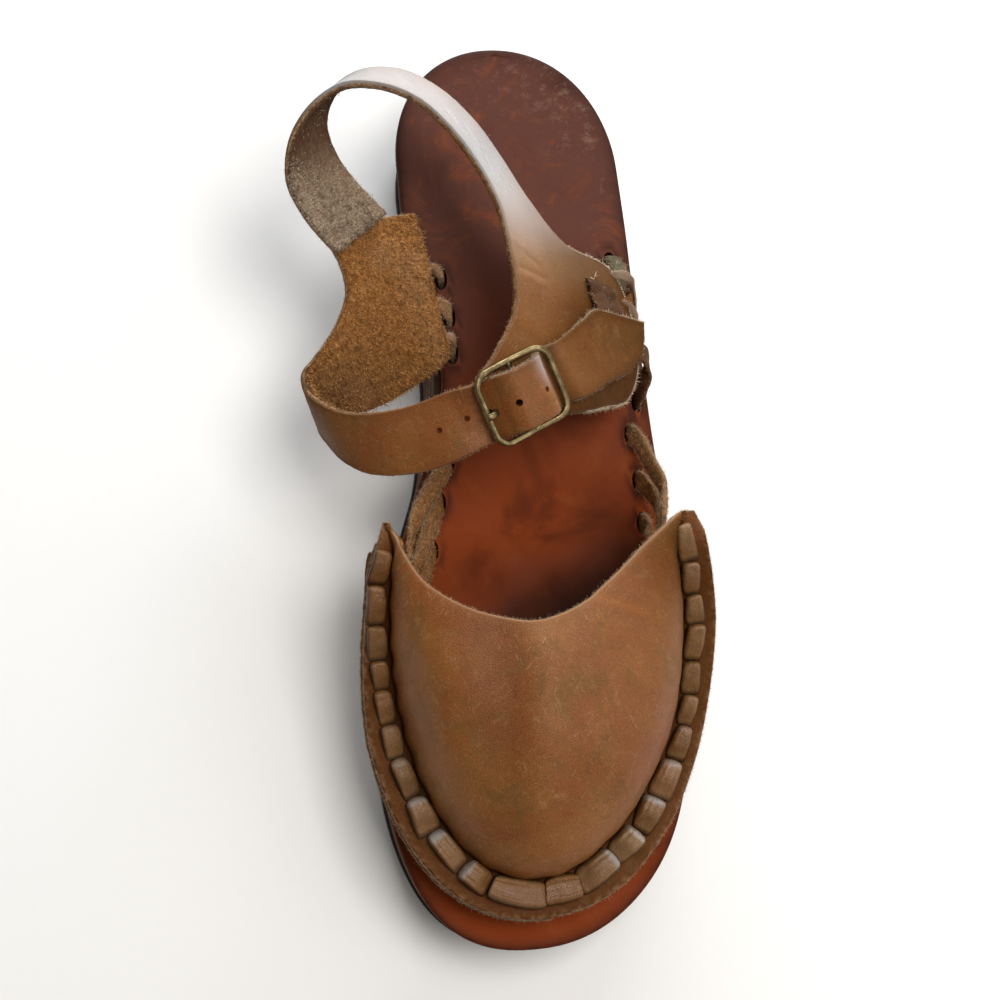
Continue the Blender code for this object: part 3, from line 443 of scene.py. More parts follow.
def soften(grid, first, last, times):  # evens out a fold between two columns
    for step in range(times):
        soft = grid.copy()
        soft[:, first:last] = (grid[:, first - 1:last - 1] + 2 * grid[:, first:last]
                               + grid[:, first + 1:last + 1]) / 4
        grid = soft
    return grid


def surfaceNormals(grid):
    alongRows = np.gradient(grid, axis=0)
    acrossRows = np.gradient(grid, axis=1)
    return unit(np.cross(alongRows, acrossRows))


def edgeDistance(grid):  # mm from the nearest cut edge, measured along the leather
    def runs(axis):
        steps = np.linalg.norm(np.diff(grid, axis=axis), axis=-1) / mm
        total = np.cumsum(steps, axis=axis)
        zero = np.zeros_like(np.take(total, [0], axis=axis))
        run = np.concatenate([zero, total], axis=axis)
        return np.minimum(run, np.take(run, [-1], axis=axis) - run)
    return np.minimum(runs(0), runs(1))


def roughenEdges(grid, depth, size, seed, reach=1.6):  # the knife's wavering cut
    centre = grid.mean(axis=1, keepdims=True)
    away = unit(grid - centre)
    near = np.exp(-edgeDistance(grid) / reach)[..., None]
    return grid + away * near * lumps(grid, size, seed)[..., None] * depth * mm


def creaseRelief(grid, creases):  # mm; soft troughs and ridges, each from one spot to another
    x, back = grid[..., 0] / mm, 35.0 - grid[..., 1] / mm
    relief = np.zeros(x.shape)
    for (x0, back0), (x1, back1), wide, height in creases:
        runX, runBack = x1 - x0, back1 - back0
        share = np.clip(((x - x0) * runX + (back - back0) * runBack) / (runX ** 2 + runBack ** 2), 0, 1)
        away = np.hypot(x - x0 - share * runX, back - back0 - share * runBack)
        relief += height * np.exp(-((away / wide) ** 2))
    return relief


def leatherBody(name, grid, thickness, above, finishes, sign=1.0, edgeRound=0.7, topRelief=None,
                underRelief=None, marks=None, skive=1.0):
    # grid is the leather's reference face, above the share of the thickness on its finished side
    normals = surfaceNormals(grid) * sign
    near = edgeDistance(grid)
    pinch = np.sqrt(np.clip(1 - (1 - np.clip(near / edgeRound, 0, 1)) ** 2, 0.06, 1))
    half = thickness * mm / 2 * skive
    middle = grid + normals * (above - 0.5) * 2 * np.atleast_2d(half)[..., None]
    topLift = half * pinch if topRelief is None else half * pinch + topRelief * mm
    lowLift = half * pinch if underRelief is None else half * pinch + underRelief * mm
    top = middle + normals * topLift[..., None]
    low = middle - normals * lowLift[..., None]
    rows, columns = grid.shape[:2]
    count = rows * columns
    border = gridBorder(rows, columns)
    rim = rimFaces(border, count)
    outFaces = gridFaces(rows, columns, 0, sign < 0)
    inFaces = gridFaces(rows, columns, count, sign > 0)
    faces = np.concatenate([outFaces, inFaces, rim if sign > 0 else rim[:, ::-1]])
    which = np.concatenate([np.zeros(len(outFaces)), np.ones(len(inFaces)), np.full(len(rim), 2)])
    paint = {key: np.concatenate([np.ravel(value)] * 2) for key, value in (marks or {}).items()}
    piece = makeMesh(name, np.concatenate([top.reshape(-1, 3), low.reshape(-1, 3)]), faces,
                     finishes, which, paint)
    edge = {"points": middle.reshape(-1, 3)[border], "normals": normals.reshape(-1, 3)[border]}
    inner = np.clip(np.array([border // columns, border % columns]).T, 3, [rows - 4, columns - 4])
    edge["away"] = unit(edge["points"] - middle[inner[:, 0], inner[:, 1]])
    return piece, edge


def spikes(name, root, aim, size, wide, rng, finish, curl=0.45, bent=True):  # slim closed spikes
    total = len(root)
    side = unit(np.cross(aim, rng.normal(0, 1, (total, 3))))
    other = np.cross(aim, side)
    bend = unit(aim + rng.normal(0, curl, (total, 3)))
    ring = [root + side * wide, root - side * wide * 0.5 + other * wide * 0.87,
            root - side * wide * 0.5 - other * wide * 0.87]
    middle = root + aim * size * 0.5
    tip = middle + bend * size * 0.5
    sides, ends = [], [[0, 1, 3], [1, 2, 3], [2, 0, 3], [2, 1, 0]]
    if bent:
        ring += [middle + (p - root) * 0.7 for p in ring[:3]]
        sides = [[0, 1, 4, 3], [1, 2, 5, 4], [2, 0, 3, 5]]
        ends = [[3, 4, 6], [4, 5, 6], [5, 3, 6], [2, 1, 0]]
    shift = (np.arange(total) * (len(ring) + 1))[:, None, None]
    faces = []
    for pattern in filter(None, (sides, ends)):
        faces += list((np.array(pattern)[None] + shift).reshape(-1, len(pattern[0])))
    piece = makeMesh(name, np.stack(ring + [tip], axis=1), faces, [finish])
    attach(piece, "root")


def strands(name, edge, perMm, length, width, lean, seed, finish, keep=None, bent=False):
    # fibres on a cut edge
    rng = np.random.default_rng(seed)
    points, away, normals = edge["points"], edge["away"], edge["normals"]
    ahead = np.roll(points, -1, axis=0)
    span = np.linalg.norm(ahead - points, axis=1) / mm
    span[span > 6] = 0
    if keep is not None:
        span = span * keep
    total = int(span.sum() * perMm)
    pick = rng.choice(len(points), total, p=span / span.sum())
    root = points[pick] + (ahead[pick] - points[pick]) * rng.random((total, 1))
    root = root + normals[pick] * rng.uniform(-0.9, 1.0, (total, 1)) * mm
    lift = normals[pick] * rng.normal(lean, 0.55, (total, 1))
    aim = unit(away[pick] + lift + rng.normal(0, 0.5, (total, 3)))
    size = length * rng.gamma(2.2, 0.45, (total, 1)) * mm
    thick = width * rng.uniform(0.6, 1.3, (total, 1)) * mm / 2
    spikes(name, root, aim, size, thick, rng, finish, bent=bent)


def napFibres(name, piece, side, count, length, width, seed, finish, keep):
    # short fibres lying on one face of a hide; side is the face's finish slot
    rng = np.random.default_rng(seed)
    faces = piece.data.polygons
    centres, normals = np.empty(len(faces) * 3), np.empty(len(faces) * 3)
    slots, areas = np.empty(len(faces), np.int32), np.empty(len(faces))
    faces.foreach_get("center", centres)
    faces.foreach_get("normal", normals)
    faces.foreach_get("material_index", slots)
    faces.foreach_get("area", areas)
    centres, normals = centres.reshape(-1, 3), normals.reshape(-1, 3)
    share = areas * (slots == side) * keep(centres / mm)
    pick = rng.choice(len(share), count, p=share / share.sum())
    sweep = unit(rng.normal(0, 1, (count, 3)) + np.array([0.5, -0.8, -0.3]))
    aim = unit(normals[pick] * rng.uniform(0.15, 0.75, (count, 1)) + sweep)
    root = centres[pick] + rng.normal(0, 0.16, (count, 3)) * mm - normals[pick] * 0.04 * mm
    size = length * rng.gamma(3.0, 0.33, (count, 1)) * mm
    thick = width * rng.uniform(0.6, 1.4, (count, 1)) * mm / 2
    spikes(name, root, aim, size, thick, rng, finish, 0.8, False)


# sole

soleShape = {
    "length": 266.0, "heelRound": 38.0, "heelPower": 2.1, "toeRound": 66.0, "toePower": 2.3,
    "heelHeight": 34.0, "ballHeight": 20.0, "slope": (60.0, 170.0), "toeSpring": 7.0, "springFrom": 205.0,
    "archRise": 3.5, "arch": (75.0, 152.0), "outsole": 4.5, "footbed": 4.0,
    "flare": 6.5, "flareAt": 102.0, "flareReach": 34.0, "stations": 120, "treadStations": 360,
    "heelTaper": 2.8, "taper": (100.0, 122.0),
    # back, centre, half width
    "rows": [(0, -2.4, 33.2), (20, -1.5, 33.2), (38, -0.3, 33.2), (55, 0.6, 33.4), (78, 3.2, 32.0),
             (100, 7.0, 30.2), (118, 6.6, 32.6), (134, 4.8, 36.5), (160, 2.0, 42.0), (182, 0.3, 45.2),
             (200, -0.7, 45.4), (222, -1.2, 45.4), (244, -3.0, 45.4), (266, -7.0, 45.4)],
}
soleRows = np.array(soleShape["rows"])


def toeLift(back):
    run = soleShape["length"] - soleShape["springFrom"]
    return soleShape["toeSpring"] * (np.maximum(back - soleShape["springFrom"], 0.0) / run) ** 2


def footbedTop(back):
    slope = smoothStep(back, *soleShape["slope"])
    drop = soleShape["ballHeight"] - soleShape["heelHeight"]
    return soleShape["heelHeight"] + drop * slope + toeLift(back)


def groundSide(back):
    start, end = soleShape["arch"]
    t = np.clip((back - start) / (end - start), 0, 1)
    return soleShape["archRise"] * np.sin(np.pi * t) ** 2 + toeLift(back)


def soleOutline(flare, outset, taper=0.0, stations=None):
    n = stations or soleShape["stations"]
    length = soleShape["length"]
    backs = length * (1 - np.cos(np.pi * np.arange(n + 1) / n)) / 2
    heel = np.clip(1 - backs / soleShape["heelRound"], 0, 1)
    toe = np.clip((backs - length + soleShape["toeRound"]) / soleShape["toeRound"], 0, 1)
    rounding = ((1 - heel ** soleShape["heelPower"]) ** (1 / soleShape["heelPower"])
                * (1 - toe ** soleShape["toePower"]) ** (1 / soleShape["toePower"]))
    centre = through(soleRows[:, 0], soleRows[:, 1], backs)
    half = through(soleRows[:, 0], soleRows[:, 2], backs) * rounding
    reach = np.clip(np.abs(backs - soleShape["flareAt"]) / soleShape["flareReach"], 0, 1)
    wider = flare * soleShape["flare"] * np.cos(reach * np.pi / 2) ** 2
    medial = np.stack([centre - half - wider, backs], axis=1)
    lateral = np.stack([centre + half, backs], axis=1)
    ring = np.concatenate([medial, lateral[-2:0:-1]])
    run = np.roll(ring, -1, axis=0) - np.roll(ring, 1, axis=0)
    outward = unit(np.stack([-run[:, 1], run[:, 0]], axis=1))
    inset = taper * soleShape["heelTaper"] * (1 - smoothStep(ring[:, 1], *soleShape["taper"]))
    return ring + outward * (outset - inset)[:, None]


def soleSlab(name, levels, columns, finishes, marks=None, relief=None, stations=None):
    # closed slab from rings, low to high; relief shapes the underside and the top between the rings
    n = stations or soleShape["stations"]
    around = 2 * n
    rings = []
    for flare, taper, outset, height in levels:
        ring = soleOutline(flare, outset, taper, n)
        back = np.clip(ring[:, 1], 0, soleShape["length"])
        rings.append(np.column_stack([ring, height(back)]))
    points = [np.concatenate(rings)]
    faces = ringFaces(len(levels), around)
    start = len(levels) * around
    for cap, ring in ((0, rings[0]), (1, rings[-1])):
        base = 0 if cap == 0 else (len(levels) - 1) * around
        medial, lateral = ring[1:n], ring[:n:-1]
        t = np.arange(1, columns)[None, :, None] / columns
        inner = medial[:, None] * (1 - t) + lateral[:, None] * t
        if relief is not None:
            inner[..., 2] += relief(cap, inner, t[..., 0])
        points.append(inner.reshape(-1, 3))
        index = np.empty((n - 1, columns + 1), int)
        index[:, 0] = base + np.arange(1, n)
        index[:, -1] = base + around - np.arange(1, n)
        index[:, 1:-1] = start + np.arange((n - 1) * (columns - 1)).reshape(n - 1, columns - 1)
        start += (n - 1) * (columns - 1)
        quads = np.stack([index[:-1, :-1], index[:-1, 1:], index[1:, 1:], index[1:, :-1]], axis=-1)
        faces += quads.reshape(-1, 4).tolist()
        for row, tip in ((index[0], base), (index[-1], base + n)):
            faces += [(int(a), int(b), tip) for a, b in zip(row, row[1:])]
    points = np.concatenate(points)
    paint = {key: make(points) for key, make in (marks or {}).items()}
    return faceOutward(makeMesh(name, toWorld(points), faces, finishes, None, paint), False)


treadShape = {"pitch": 5.2, "groove": 1.5, "depth": 1.0, "border": 0.12}


def treadRelief(cap, inner, t):
    if cap == 1:
        return 0.0
    phase = (inner[..., 1] % treadShape["pitch"]) / treadShape["pitch"]
    cut = smoothStep(np.abs(phase - 0.5) * treadShape["pitch"], treadShape["groove"] / 2 + 0.3,
                     treadShape["groove"] / 2 - 0.3)
    inside = smoothStep(np.minimum(t, 1 - t), treadShape["border"] * 0.8, treadShape["border"])
    back = inner[..., 1]
    inside = inside * smoothStep(back, 9, 12)
    inside = inside * smoothStep(back, soleShape["length"] - 9, soleShape["length"] - 12)
    return treadShape["depth"] * cut * inside


def shifted(height, by):
    return lambda back: height(back) + by


outsoleTop = shifted(groundSide, soleShape["outsole"])
outsole = soleSlab("outsoleRubber", [
    (1.0, 1.0, -0.6, groundSide), (1.0, 1.0, -0.1, shifted(groundSide, 0.12)),
    (1.0, 1.0, 0.4, shifted(groundSide, 0.5)), (1.0, 1.0, 0.6, shifted(groundSide, 1.0)),
    (1.0, 1.0, 0.6, shifted(outsoleTop, -0.3)), (1.0, 1.0, 0.35, outsoleTop),
], 22, [rubber], None, treadRelief, soleShape["treadStations"])
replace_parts(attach(outsole, "root"), "outsole")

stackShape = {"layers": 4, "groove": 0.28}
wedgeLow = shifted(outsoleTop, gap)
wedgeHigh = shifted(footbedTop, -soleShape["footbed"] - gap)


def wedgeLevels():
    levels = []
    steps = stackShape["layers"] * 6
    for k in range(steps + 1):
        t = k / steps
        inLayer = abs((t * stackShape["layers"]) % 1.0 - 0.5) * 2
        cut = stackShape["groove"] * smoothStep(inLayer, 0.62, 1.0) if 0 < k < steps else 0.15
        levels.append((1.0 - 0.65 * t, 1.0 - t, -float(cut),
                       lambda back, t=t: wedgeLow(back) + (wedgeHigh(back) - wedgeLow(back)) * t))
    return levels


def wedgeShadow(points):
    top = wedgeHigh(np.clip(points[:, 1], 0, soleShape["length"]))
    return 0.6 * smoothStep(points[:, 2], top - 2.0, top)


midsole = soleSlab("wedgeStack", wedgeLevels(), 16, [wedge], {"shadow": wedgeShadow})
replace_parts(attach(midsole, "root"), "midsole")

footbedShape = {
    # patches of painted shade, in the throat under the vamp and beside the heel strap: x, back, half width,
    # half length, depth
    "shadePatches": [(10, 172, 34, 17, 0.88), (26, 152, 12, 22, 0.48), (-20, 62, 10, 26, 0.26),
               (-11, 86, 9, 20, 0.06), (2, 84, 14, 24, 0.10)],
    # x, back, radius, strength of a rubbed place
    "rubbed": [(22, 14, 9, 0.9), (27, 28, 6, 0.7), (5, 4, 14, 0.7), (-18, 20, 6, 0.6), (16, 30, 5, 0.4),
               (30, 44, 5, 0.4), (24, 60, 4, 0.3)],
    "heelCup": 0.5, "holeLength": 6.8, "holeWidth": 3.8,
    "holes": [(32.8, 119.4), (34.8, 133.2), (35.6, 146.0), (-22.6, 126.0), (-25.6, 138.0), (-28.4, 151.8),
              (28.6, 68.2), (31.6, 78.6), (33.6, 93.0), (35.2, 109.6),
              (-22.8, 72.5), (-20.8, 84.0), (-20.4, 94.5)],
}


def footbedRelief(cap, inner, t):
    if cap == 0:
        return 0.0
    inside = smoothStep(np.minimum(t, 1 - t), 0.0, 0.3)
    back = inner[..., 1]
    return -footbedShape["heelCup"] * inside * (hump(back, 42, 30) + 0.7 * hump(back, 200, 32))


def footbedShadow(points):
    outline = soleOutline(0.0, 0.0, 0.0, 200)
    found = np.full(len(points), 99.0)
    for start in range(0, len(points), 4000):
        block = points[start:start + 4000, None, :2] - outline[None]
        found[start:start + 4000] = np.linalg.norm(block, axis=2).min(axis=1)
    dark = 0.80 * np.exp(-found / 1.8) + 0.10 * np.exp(-found / 7)
    for x, back, wide, deep, amount in footbedShape["shadePatches"]:
        spot = np.exp(-((points[:, 0] - x) / wide) ** 2 - ((points[:, 1] - back) / deep) ** 2)
        dark = dark + amount * spot * (1 + 0.35 * lumps(toWorld(points), 14, 41.0))
    dark = np.clip(dark, 0, 0.92)
    for x, back in footbedShape["holes"]:
        away = np.hypot(points[:, 0] - x, (points[:, 1] - back) / 1.6)
        dark = np.maximum(dark, 0.8 * smoothStep(away, 4.6, 2.4))
    return dark


def footbedWear(points):
    wearAndSheen = np.zeros(len(points))
    for x, back, radius, strength in footbedShape["rubbed"]:
        wearAndSheen = wearAndSheen + strength * np.exp(-((points[:, 0] - x) ** 2 + (points[:, 1] - back) ** 2) / radius**2)
    return np.clip(wearAndSheen, 0, 1)


def cutHoles(piece, name, shape):  # holes cut for good, so that the punch can go
    mesh = bpy.data.meshes.new(name)
    shape.to_mesh(mesh)
    shape.free()
    punch = bpy.data.objects.new(name, mesh)
    bpy.context.scene.collection.objects.link(punch)
    cut = piece.modifiers.new("holes", "BOOLEAN")
    cut.operation = "DIFFERENCE"
    cut.solver = "EXACT"
    cut.object = punch
    bpy.context.view_layer.update()
    made = bpy.data.meshes.new_from_object(piece.evaluated_get(bpy.context.evaluated_depsgraph_get()))
    piece.modifiers.clear()
    made.name = piece.data.name
    made.set_sharp_from_angle(angle=0.9)
    piece.data = made
    bpy.data.objects.remove(punch, do_unlink=True)


def buildFootbed():
    low = shifted(footbedTop, -soleShape["footbed"])
    edge = [(-0.3, shifted(low, 0.0)), (0.2, shifted(low, 0.3)), (0.4, shifted(low, 0.8)),
            (0.4, shifted(footbedTop, -1.0)), (0.2, shifted(footbedTop, -0.5)),
            (-0.2, shifted(footbedTop, -0.17)), (-0.8, shifted(footbedTop, -0.02)), (-1.8, footbedTop)]
    levels = [(0.0, 0.0, outset, height) for outset, height in edge]
    piece = soleSlab("footbedInsole", levels, 44, [insole],
                     {"shadow": footbedShadow, "wearAndSheen": footbedWear}, footbedRelief)
    shape = bmesh.new()
    for x, back in footbedShape["holes"]:
        z = footbedTop(back) - soleShape["footbed"] / 2
        place = Matrix.Translation(Vector(toWorld((x, back, z))))
        stretch = Matrix.Diagonal((footbedShape["holeWidth"] * mm / 2, footbedShape["holeLength"] * mm / 2,
                                   0.012, 1.0))
        bmesh.ops.create_cone(shape, cap_ends=True, segments=36, radius1=1.0, radius2=1.0, depth=1.0,
                              matrix=place @ stretch)
    cutHoles(piece, "lacePunch", shape)
    return piece


footbed = buildFootbed()
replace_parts(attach(footbed, "root"), "footbed")
print("sole done")


# vamp

vampShape = {
    "thickness": 2.6, "wallThickness": 2.2, "wallInset": 6.4, "wallStart": 0.022, "seamToe": 250.5,
    "seamRound": 78.0, "seamPower": 2.2, "seamStart": 148.0, "marginSlope": 0.2, "wallProud": 0.6,
    "crease": 4.0, "lateralCrease": 0.3, "toeCrease": 2.6, "creaseAtTip": 0.3, "creaseOpening": 0.035,
    "wallBend": 6.4, "wallCorner": 1.1, "creaseColumn": 66, "softColumns": (50, 76),
    "shadeSpot": ((31.0, 163.0, 54.0), 12.0, 15.0, 0.34),  # place, breadth, length, strength
    "seamLow": 14.0, "seamWing": 32.0, "seamDropEnd": 210.0, "pucker": 0.40, "sag": 0.5,
    # creases: from and to (x, back), half width, height; troughs are negative
    "creases": [((-17.6, 183.2), (-17.1, 233.1), 8.0, -1.25), ((-5.6, 186.5), (-8.0, 229.1), 5.5, 0.75),
                ((-10.6, 192.2), (-1.1, 186.5), 3.5, 0.35), ((10.4, 173.1), (23.9, 177.8), 1.6, 0.40),
                ((9.6, 171.3), (22.6, 175.7), 1.4, -0.30), ((6.3, 212.5), (19.4, 221.1), 4.5, 0.45),
                ((1.9, 216.3), (15.4, 224.7), 4.0, -0.38), ((-30.8, 208.1), (-24.2, 215.9), 3.0, 0.35),
                ((-40.0, 185.4), (-38.8, 209.8), 4.0, -0.45), ((-33.3, 183.9), (-32.3, 199.3), 4.0, 0.30)],
    # back, centre, half width
    "seam": [(148, -2.2, 43.2), (160, -3.0, 44.4), (175, -2.6, 45.5), (190, -2.3, 45.8),
             (205, -2.1, 45.8), (222, -2.4, 45.8), (240, -3.6, 45.8), (250.5, -5.2, 45.8)],
    # back, medial reach, lateral reach
    "margin": [(148, 0.5, 1.8), (154, 0.9, 4.6), (159, 1.8, 5.5), (165, 2.5, 6.1), (178, 3.5, 6.4),
               (191, 4.8, 6.2), (205, 6.5, 5.8), (220, 7.2, 5.0), (238, 7.5, 4.9), (250, 7.2, 6.4)],
    # part of the seam, x, back, height
    "throat": [(0.00, -44.0, 148.6, 53.5), (0.12, -37.4, 163.0, 59.0), (0.25, -29.0, 171.0, 63.0),
               (0.38, -18.5, 175.8, 65.6), (0.50, -7.0, 177.8, 66.5), (0.62, 4.5, 174.4, 65.6),
               (0.75, 15.5, 166.6, 63.0), (0.88, 27.0, 156.6, 59.0), (1.00, 39.0, 147.6, 53.5)],
}
laceShape = {
    "pitch": 10.0, "width": 6.2, "height": 2.3, "first": 0.030, "last": 0.986, "lift": 0.42,
    "thongWidth": 4.6, "thongThickness": 1.7,
}


def seamPlanLine():
    rows = np.array(vampShape["seam"])
    start, toe = vampShape["seamStart"], vampShape["seamToe"]
    backs = start + (toe - start) * np.sin(np.linspace(0, np.pi / 2, 500))
    into = np.clip((backs - toe + vampShape["seamRound"]) / vampShape["seamRound"], 0, 1)
    rounding = (1 - into ** vampShape["seamPower"]) ** (1 / vampShape["seamPower"])
    centre = through(rows[:, 0], rows[:, 1], backs)
    half = through(rows[:, 0], rows[:, 2], backs) * rounding
    medial = np.stack([centre - half, backs], axis=1)
    lateral = np.stack([centre + half, backs], axis=1)
    return np.concatenate([medial, lateral[-2::-1]])


seamLine = seamPlanLine()
seamRun = runAlong(seamLine)
seamLength = seamRun[-1]


def seamPlan(along):
    at = np.asarray(along, float) * seamLength
    return np.stack([np.interp(at, seamRun, seamLine[:, side]) for side in (0, 1)], axis=-1)


def seamOutward(along):
    reach = 2.0 / seamLength
    run = unit(seamPlan(np.minimum(along + reach, 1.0)) - seamPlan(np.maximum(along - reach, 0.0)))
    return np.stack([-run[..., 1], run[..., 0]], axis=-1)


def seamHeight(along):
    back = seamPlan(along)[..., 1]
    drop = smoothStep(back, vampShape["seamStart"], vampShape["seamDropEnd"])
    return footbedTop(back) + vampShape["seamWing"] + (vampShape["seamLow"] - vampShape["seamWing"]) * drop


def seamMargin(along):
    rows = np.array(vampShape["margin"])
    back = seamPlan(along)[..., 1]
    return np.where(np.asarray(along) < 0.5, np.interp(back, rows[:, 0], rows[:, 1]),
                    np.interp(back, rows[:, 0], rows[:, 2]))


def lateralToe(along):  # 1 round the outer side of the toe
    return smoothStep(along, 0.48, 0.60) * (1 - smoothStep(along, 0.65, 0.79))


def seamCrease(along):
    fromTip = np.minimum(along, 1 - along)
    tip = vampShape["creaseAtTip"]
    reach = vampShape["crease"] + vampShape["lateralCrease"] * smoothStep(along, 0.5, 0.62)
    reach = reach + vampShape["toeCrease"] * lateralToe(along)
    return reach * (tip + (1 - tip) * smoothStep(fromTip, 0, vampShape["creaseOpening"]))


def seamPoint(along, across, lift):
    flat = seamPlan(along) + seamOutward(along) * np.asarray(across)[..., None]
    z = seamHeight(along) + vampShape["marginSlope"] * np.asarray(across) + lift
    return np.concatenate([flat, z[..., None]], axis=-1)


stitchLook = {
    "wingLength": 9.6, "toeLength": 11.9, "wingWidth": 5.0, "toeWidth": 6.9, "wingHeight": 2.6,
    "toeHeight": 3.6, "lateralIn": 0.1, "tipIn": 1.2, "toeIn": 2.1, "sizeVary": 0.09, "skew": 4.5,
    "belly": 0.7, "seed": 11,
}


def stitchPlaces():  # ends of the stitches along the seam; they grow toward the toe
    fine = np.linspace(laceShape["first"], laceShape["last"], 2000)
    toToe = smoothStep(np.minimum(fine, 1 - fine), 0.20, 0.36)
    length = stitchLook["wingLength"] + (stitchLook["toeLength"] - stitchLook["wingLength"]) * toToe
    passed = np.concatenate([[0], np.cumsum(seamLength * np.diff(fine) / length[1:])])
    count = round(passed[-1])
    rng = np.random.default_rng(stitchLook["seed"])
    vary = rng.normal(0, stitchLook["sizeVary"], count - 1)
    marks = np.arange(count + 1) + np.concatenate([[0], vary, [0]])
    return np.interp(marks / count * passed[-1], passed, fine)


def stationOf(along):  # stitch number along the seam
    ends = stitchPlaces()
    return np.interp(along, ends, np.arange(len(ends)))


def vampGrid(alongs):
    along = alongs[:, None]
    margin = seamMargin(along) - vampShape["wallProud"]
    crease = seamCrease(along)
    throatRows = np.array(vampShape["throat"])
    throat = through(throatRows[:, 0], throatRows[:, 1:], alongs)
    plan, out = seamPlan(alongs), seamOutward(alongs)
    start = plan - out * crease
    low = seamHeight(alongs) - vampShape["marginSlope"] * crease[:, 0] + 0.5
    t = np.concatenate([[1.0, 0.9985, 0.996, 0.992, 0.985], np.linspace(0.97, 0, 59) ** 1.7])
    flat = start[:, None] + (throat[:, None, :2] - start[:, None]) * t[None, :, None]
    z = low[:, None] + (throat[:, 2] - low)[:, None] * (1 - (1 - t) ** 2.1) ** 0.5
    dome = np.concatenate([flat, z[..., None]], axis=-1)
    cornerSteps = (0.97, 0.93, 0.88, 0.80)
    corner = [seamPoint(alongs, -c * crease[:, 0], -0.1 + 0.35 * (c - 0.8) * 2.5) for c in cornerSteps]
    parts = np.concatenate([np.linspace(0.02, 0.93, 13), (0.965, 0.99, 1.0)])
    level = np.zeros(len(alongs))
    flats = [seamPoint(alongs, (margin * p - 0.6 * crease * (1 - p))[:, 0], level) for p in parts]
    grid = np.concatenate([dome, np.stack(corner, axis=1), np.stack(flats, axis=1)], axis=1)
    return soften(grid, *vampShape["softColumns"], 5)  # the crease becomes a soft trough


def buildVamp():
    alongs = spaced(360, (0.0, 0.0005, 0.0015, 0.003, 0.005))
    grid = toWorld(vampGrid(alongs))
    run = np.cumsum(np.concatenate([np.zeros((len(grid), 1)),
                                    np.linalg.norm(np.diff(grid, axis=1), axis=-1)], axis=1), axis=1) / mm
    column = vampShape["creaseColumn"]
    fromCrease = np.abs(run - run[:, column:column + 1])  # distance from the trough, either way
    onDome = np.arange(grid.shape[1])[None] < column
    station = stationOf(alongs)[:, None]
    normals = surfaceNormals(grid)
    if normals[180, 20, 2] < 0:
        normals = -normals
    fold = np.cos(2 * np.pi * station)
    puckers = vampShape["pucker"] * fold * np.exp(-fromCrease / 4.5) * onDome
    puckers += 0.16 * fold * np.exp(-fromCrease / 3.0) * ~onDome
    calm = smoothStep(edgeDistance(grid), 0.0, 9.0) * smoothStep(fromCrease, 1.0, 9.0)
    waves = vampShape["sag"] * lumps(grid, 34, 3.0) * calm + 0.12 * lumps(grid, 9, 5.0) * calm
    folds = creaseRelief(grid, vampShape["creases"]) * onDome * smoothStep(fromCrease, 0.5, 6.0)
    grid = grid + normals * ((-puckers + waves + folds) * mm)[..., None]
    near = edgeDistance(grid)
    trough = np.exp(-(fromCrease / 2.0) ** 2)
    fromTip = np.minimum(alongs, 1 - alongs)[:, None] * seamLength
    shadow = (0.8 * trough + 0.60 * np.exp(-fromCrease / 3.4) * onDome
              + 0.62 * ~onDome * smoothStep(fromCrease, 0.0, 3.0)
              + 0.60 * onDome * np.exp(-fromCrease / 16) * smoothStep(alongs, 0.70, 0.92)[:, None])
    shadow = shadow * (0.35 + 0.65 * smoothStep(fromTip, 0.5, 14.0)) + 0.16 * np.clip(-folds, 0, 1)
    middle, wide, deep, amount = vampShape["shadeSpot"]
    spot = (grid - toWorld(middle)) / mm
    shadow = shadow + amount * np.exp(-(spot[..., 0] / wide) ** 2 - (spot[..., 1] / deep) ** 2)
    shadow = np.clip(shadow, 0, 0.88)
    torn = smoothStep(lumps(grid, 1.1, 61.0, 2), -0.3, 0.6)
    wearAndSheen = 0.5 * np.exp(-near / 0.35) * onDome + 0.34 * np.exp(-near / 0.8) * ~onDome * torn
    sign = 1.0 if surfaceNormals(grid)[180, 20, 2] > 0 else -1.0
    piece, edge = leatherBody("vampPlug", grid, vampShape["thickness"], 0.0,
                              [upperGrain, quarterSuede, cutEdge], sign, 0.3,
                              marks={"shadow": shadow, "wearAndSheen": wearAndSheen, "grey": 0 * shadow},
                              skive=0.22 + 0.78 * smoothStep(fromTip, 0.0, 7.0))
    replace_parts(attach(piece, "root"), "vamp")
    return edge


def wallGrid(alongs):
    under = -vampShape["thickness"] - 2 * gap
    out, plan = seamOutward(alongs), seamPlan(alongs)
    outerFoot = plan - out * (vampShape["wallInset"] - vampShape["wallThickness"])
    foot = footbedTop(outerFoot[:, 1]) + gap
    bend = seamHeight(alongs) - vampShape["wallBend"]
    points = []
    for rise in np.linspace(0, 1, 16):
        inset = 0.25 * np.sin(np.pi * rise) ** 2
        flat = plan - out * (vampShape["wallInset"] + inset)
        points.append(np.column_stack([flat, foot + (bend - foot) * rise]))
    corner = plan - out * (vampShape["wallInset"] - vampShape["wallCorner"])
    cornerPoint = np.column_stack([corner, seamHeight(alongs) + under - vampShape["wallCorner"]])
    for k in (0.35, 0.7, 1.0):
        points.append(points[15] + (cornerPoint - points[15]) * k)
    margin = seamMargin(alongs)
    first = seamPoint(alongs, np.full(len(alongs), -3.4), under)
    points.append((cornerPoint + first) / 2)
    for k in np.concatenate([np.linspace(0, 0.93, 12), (0.97, 1.0)]):
        points.append(seamPoint(alongs, -3.4 + (margin + 3.4) * k, under))
    return soften(np.stack(points, axis=1), 13, 24, 4)


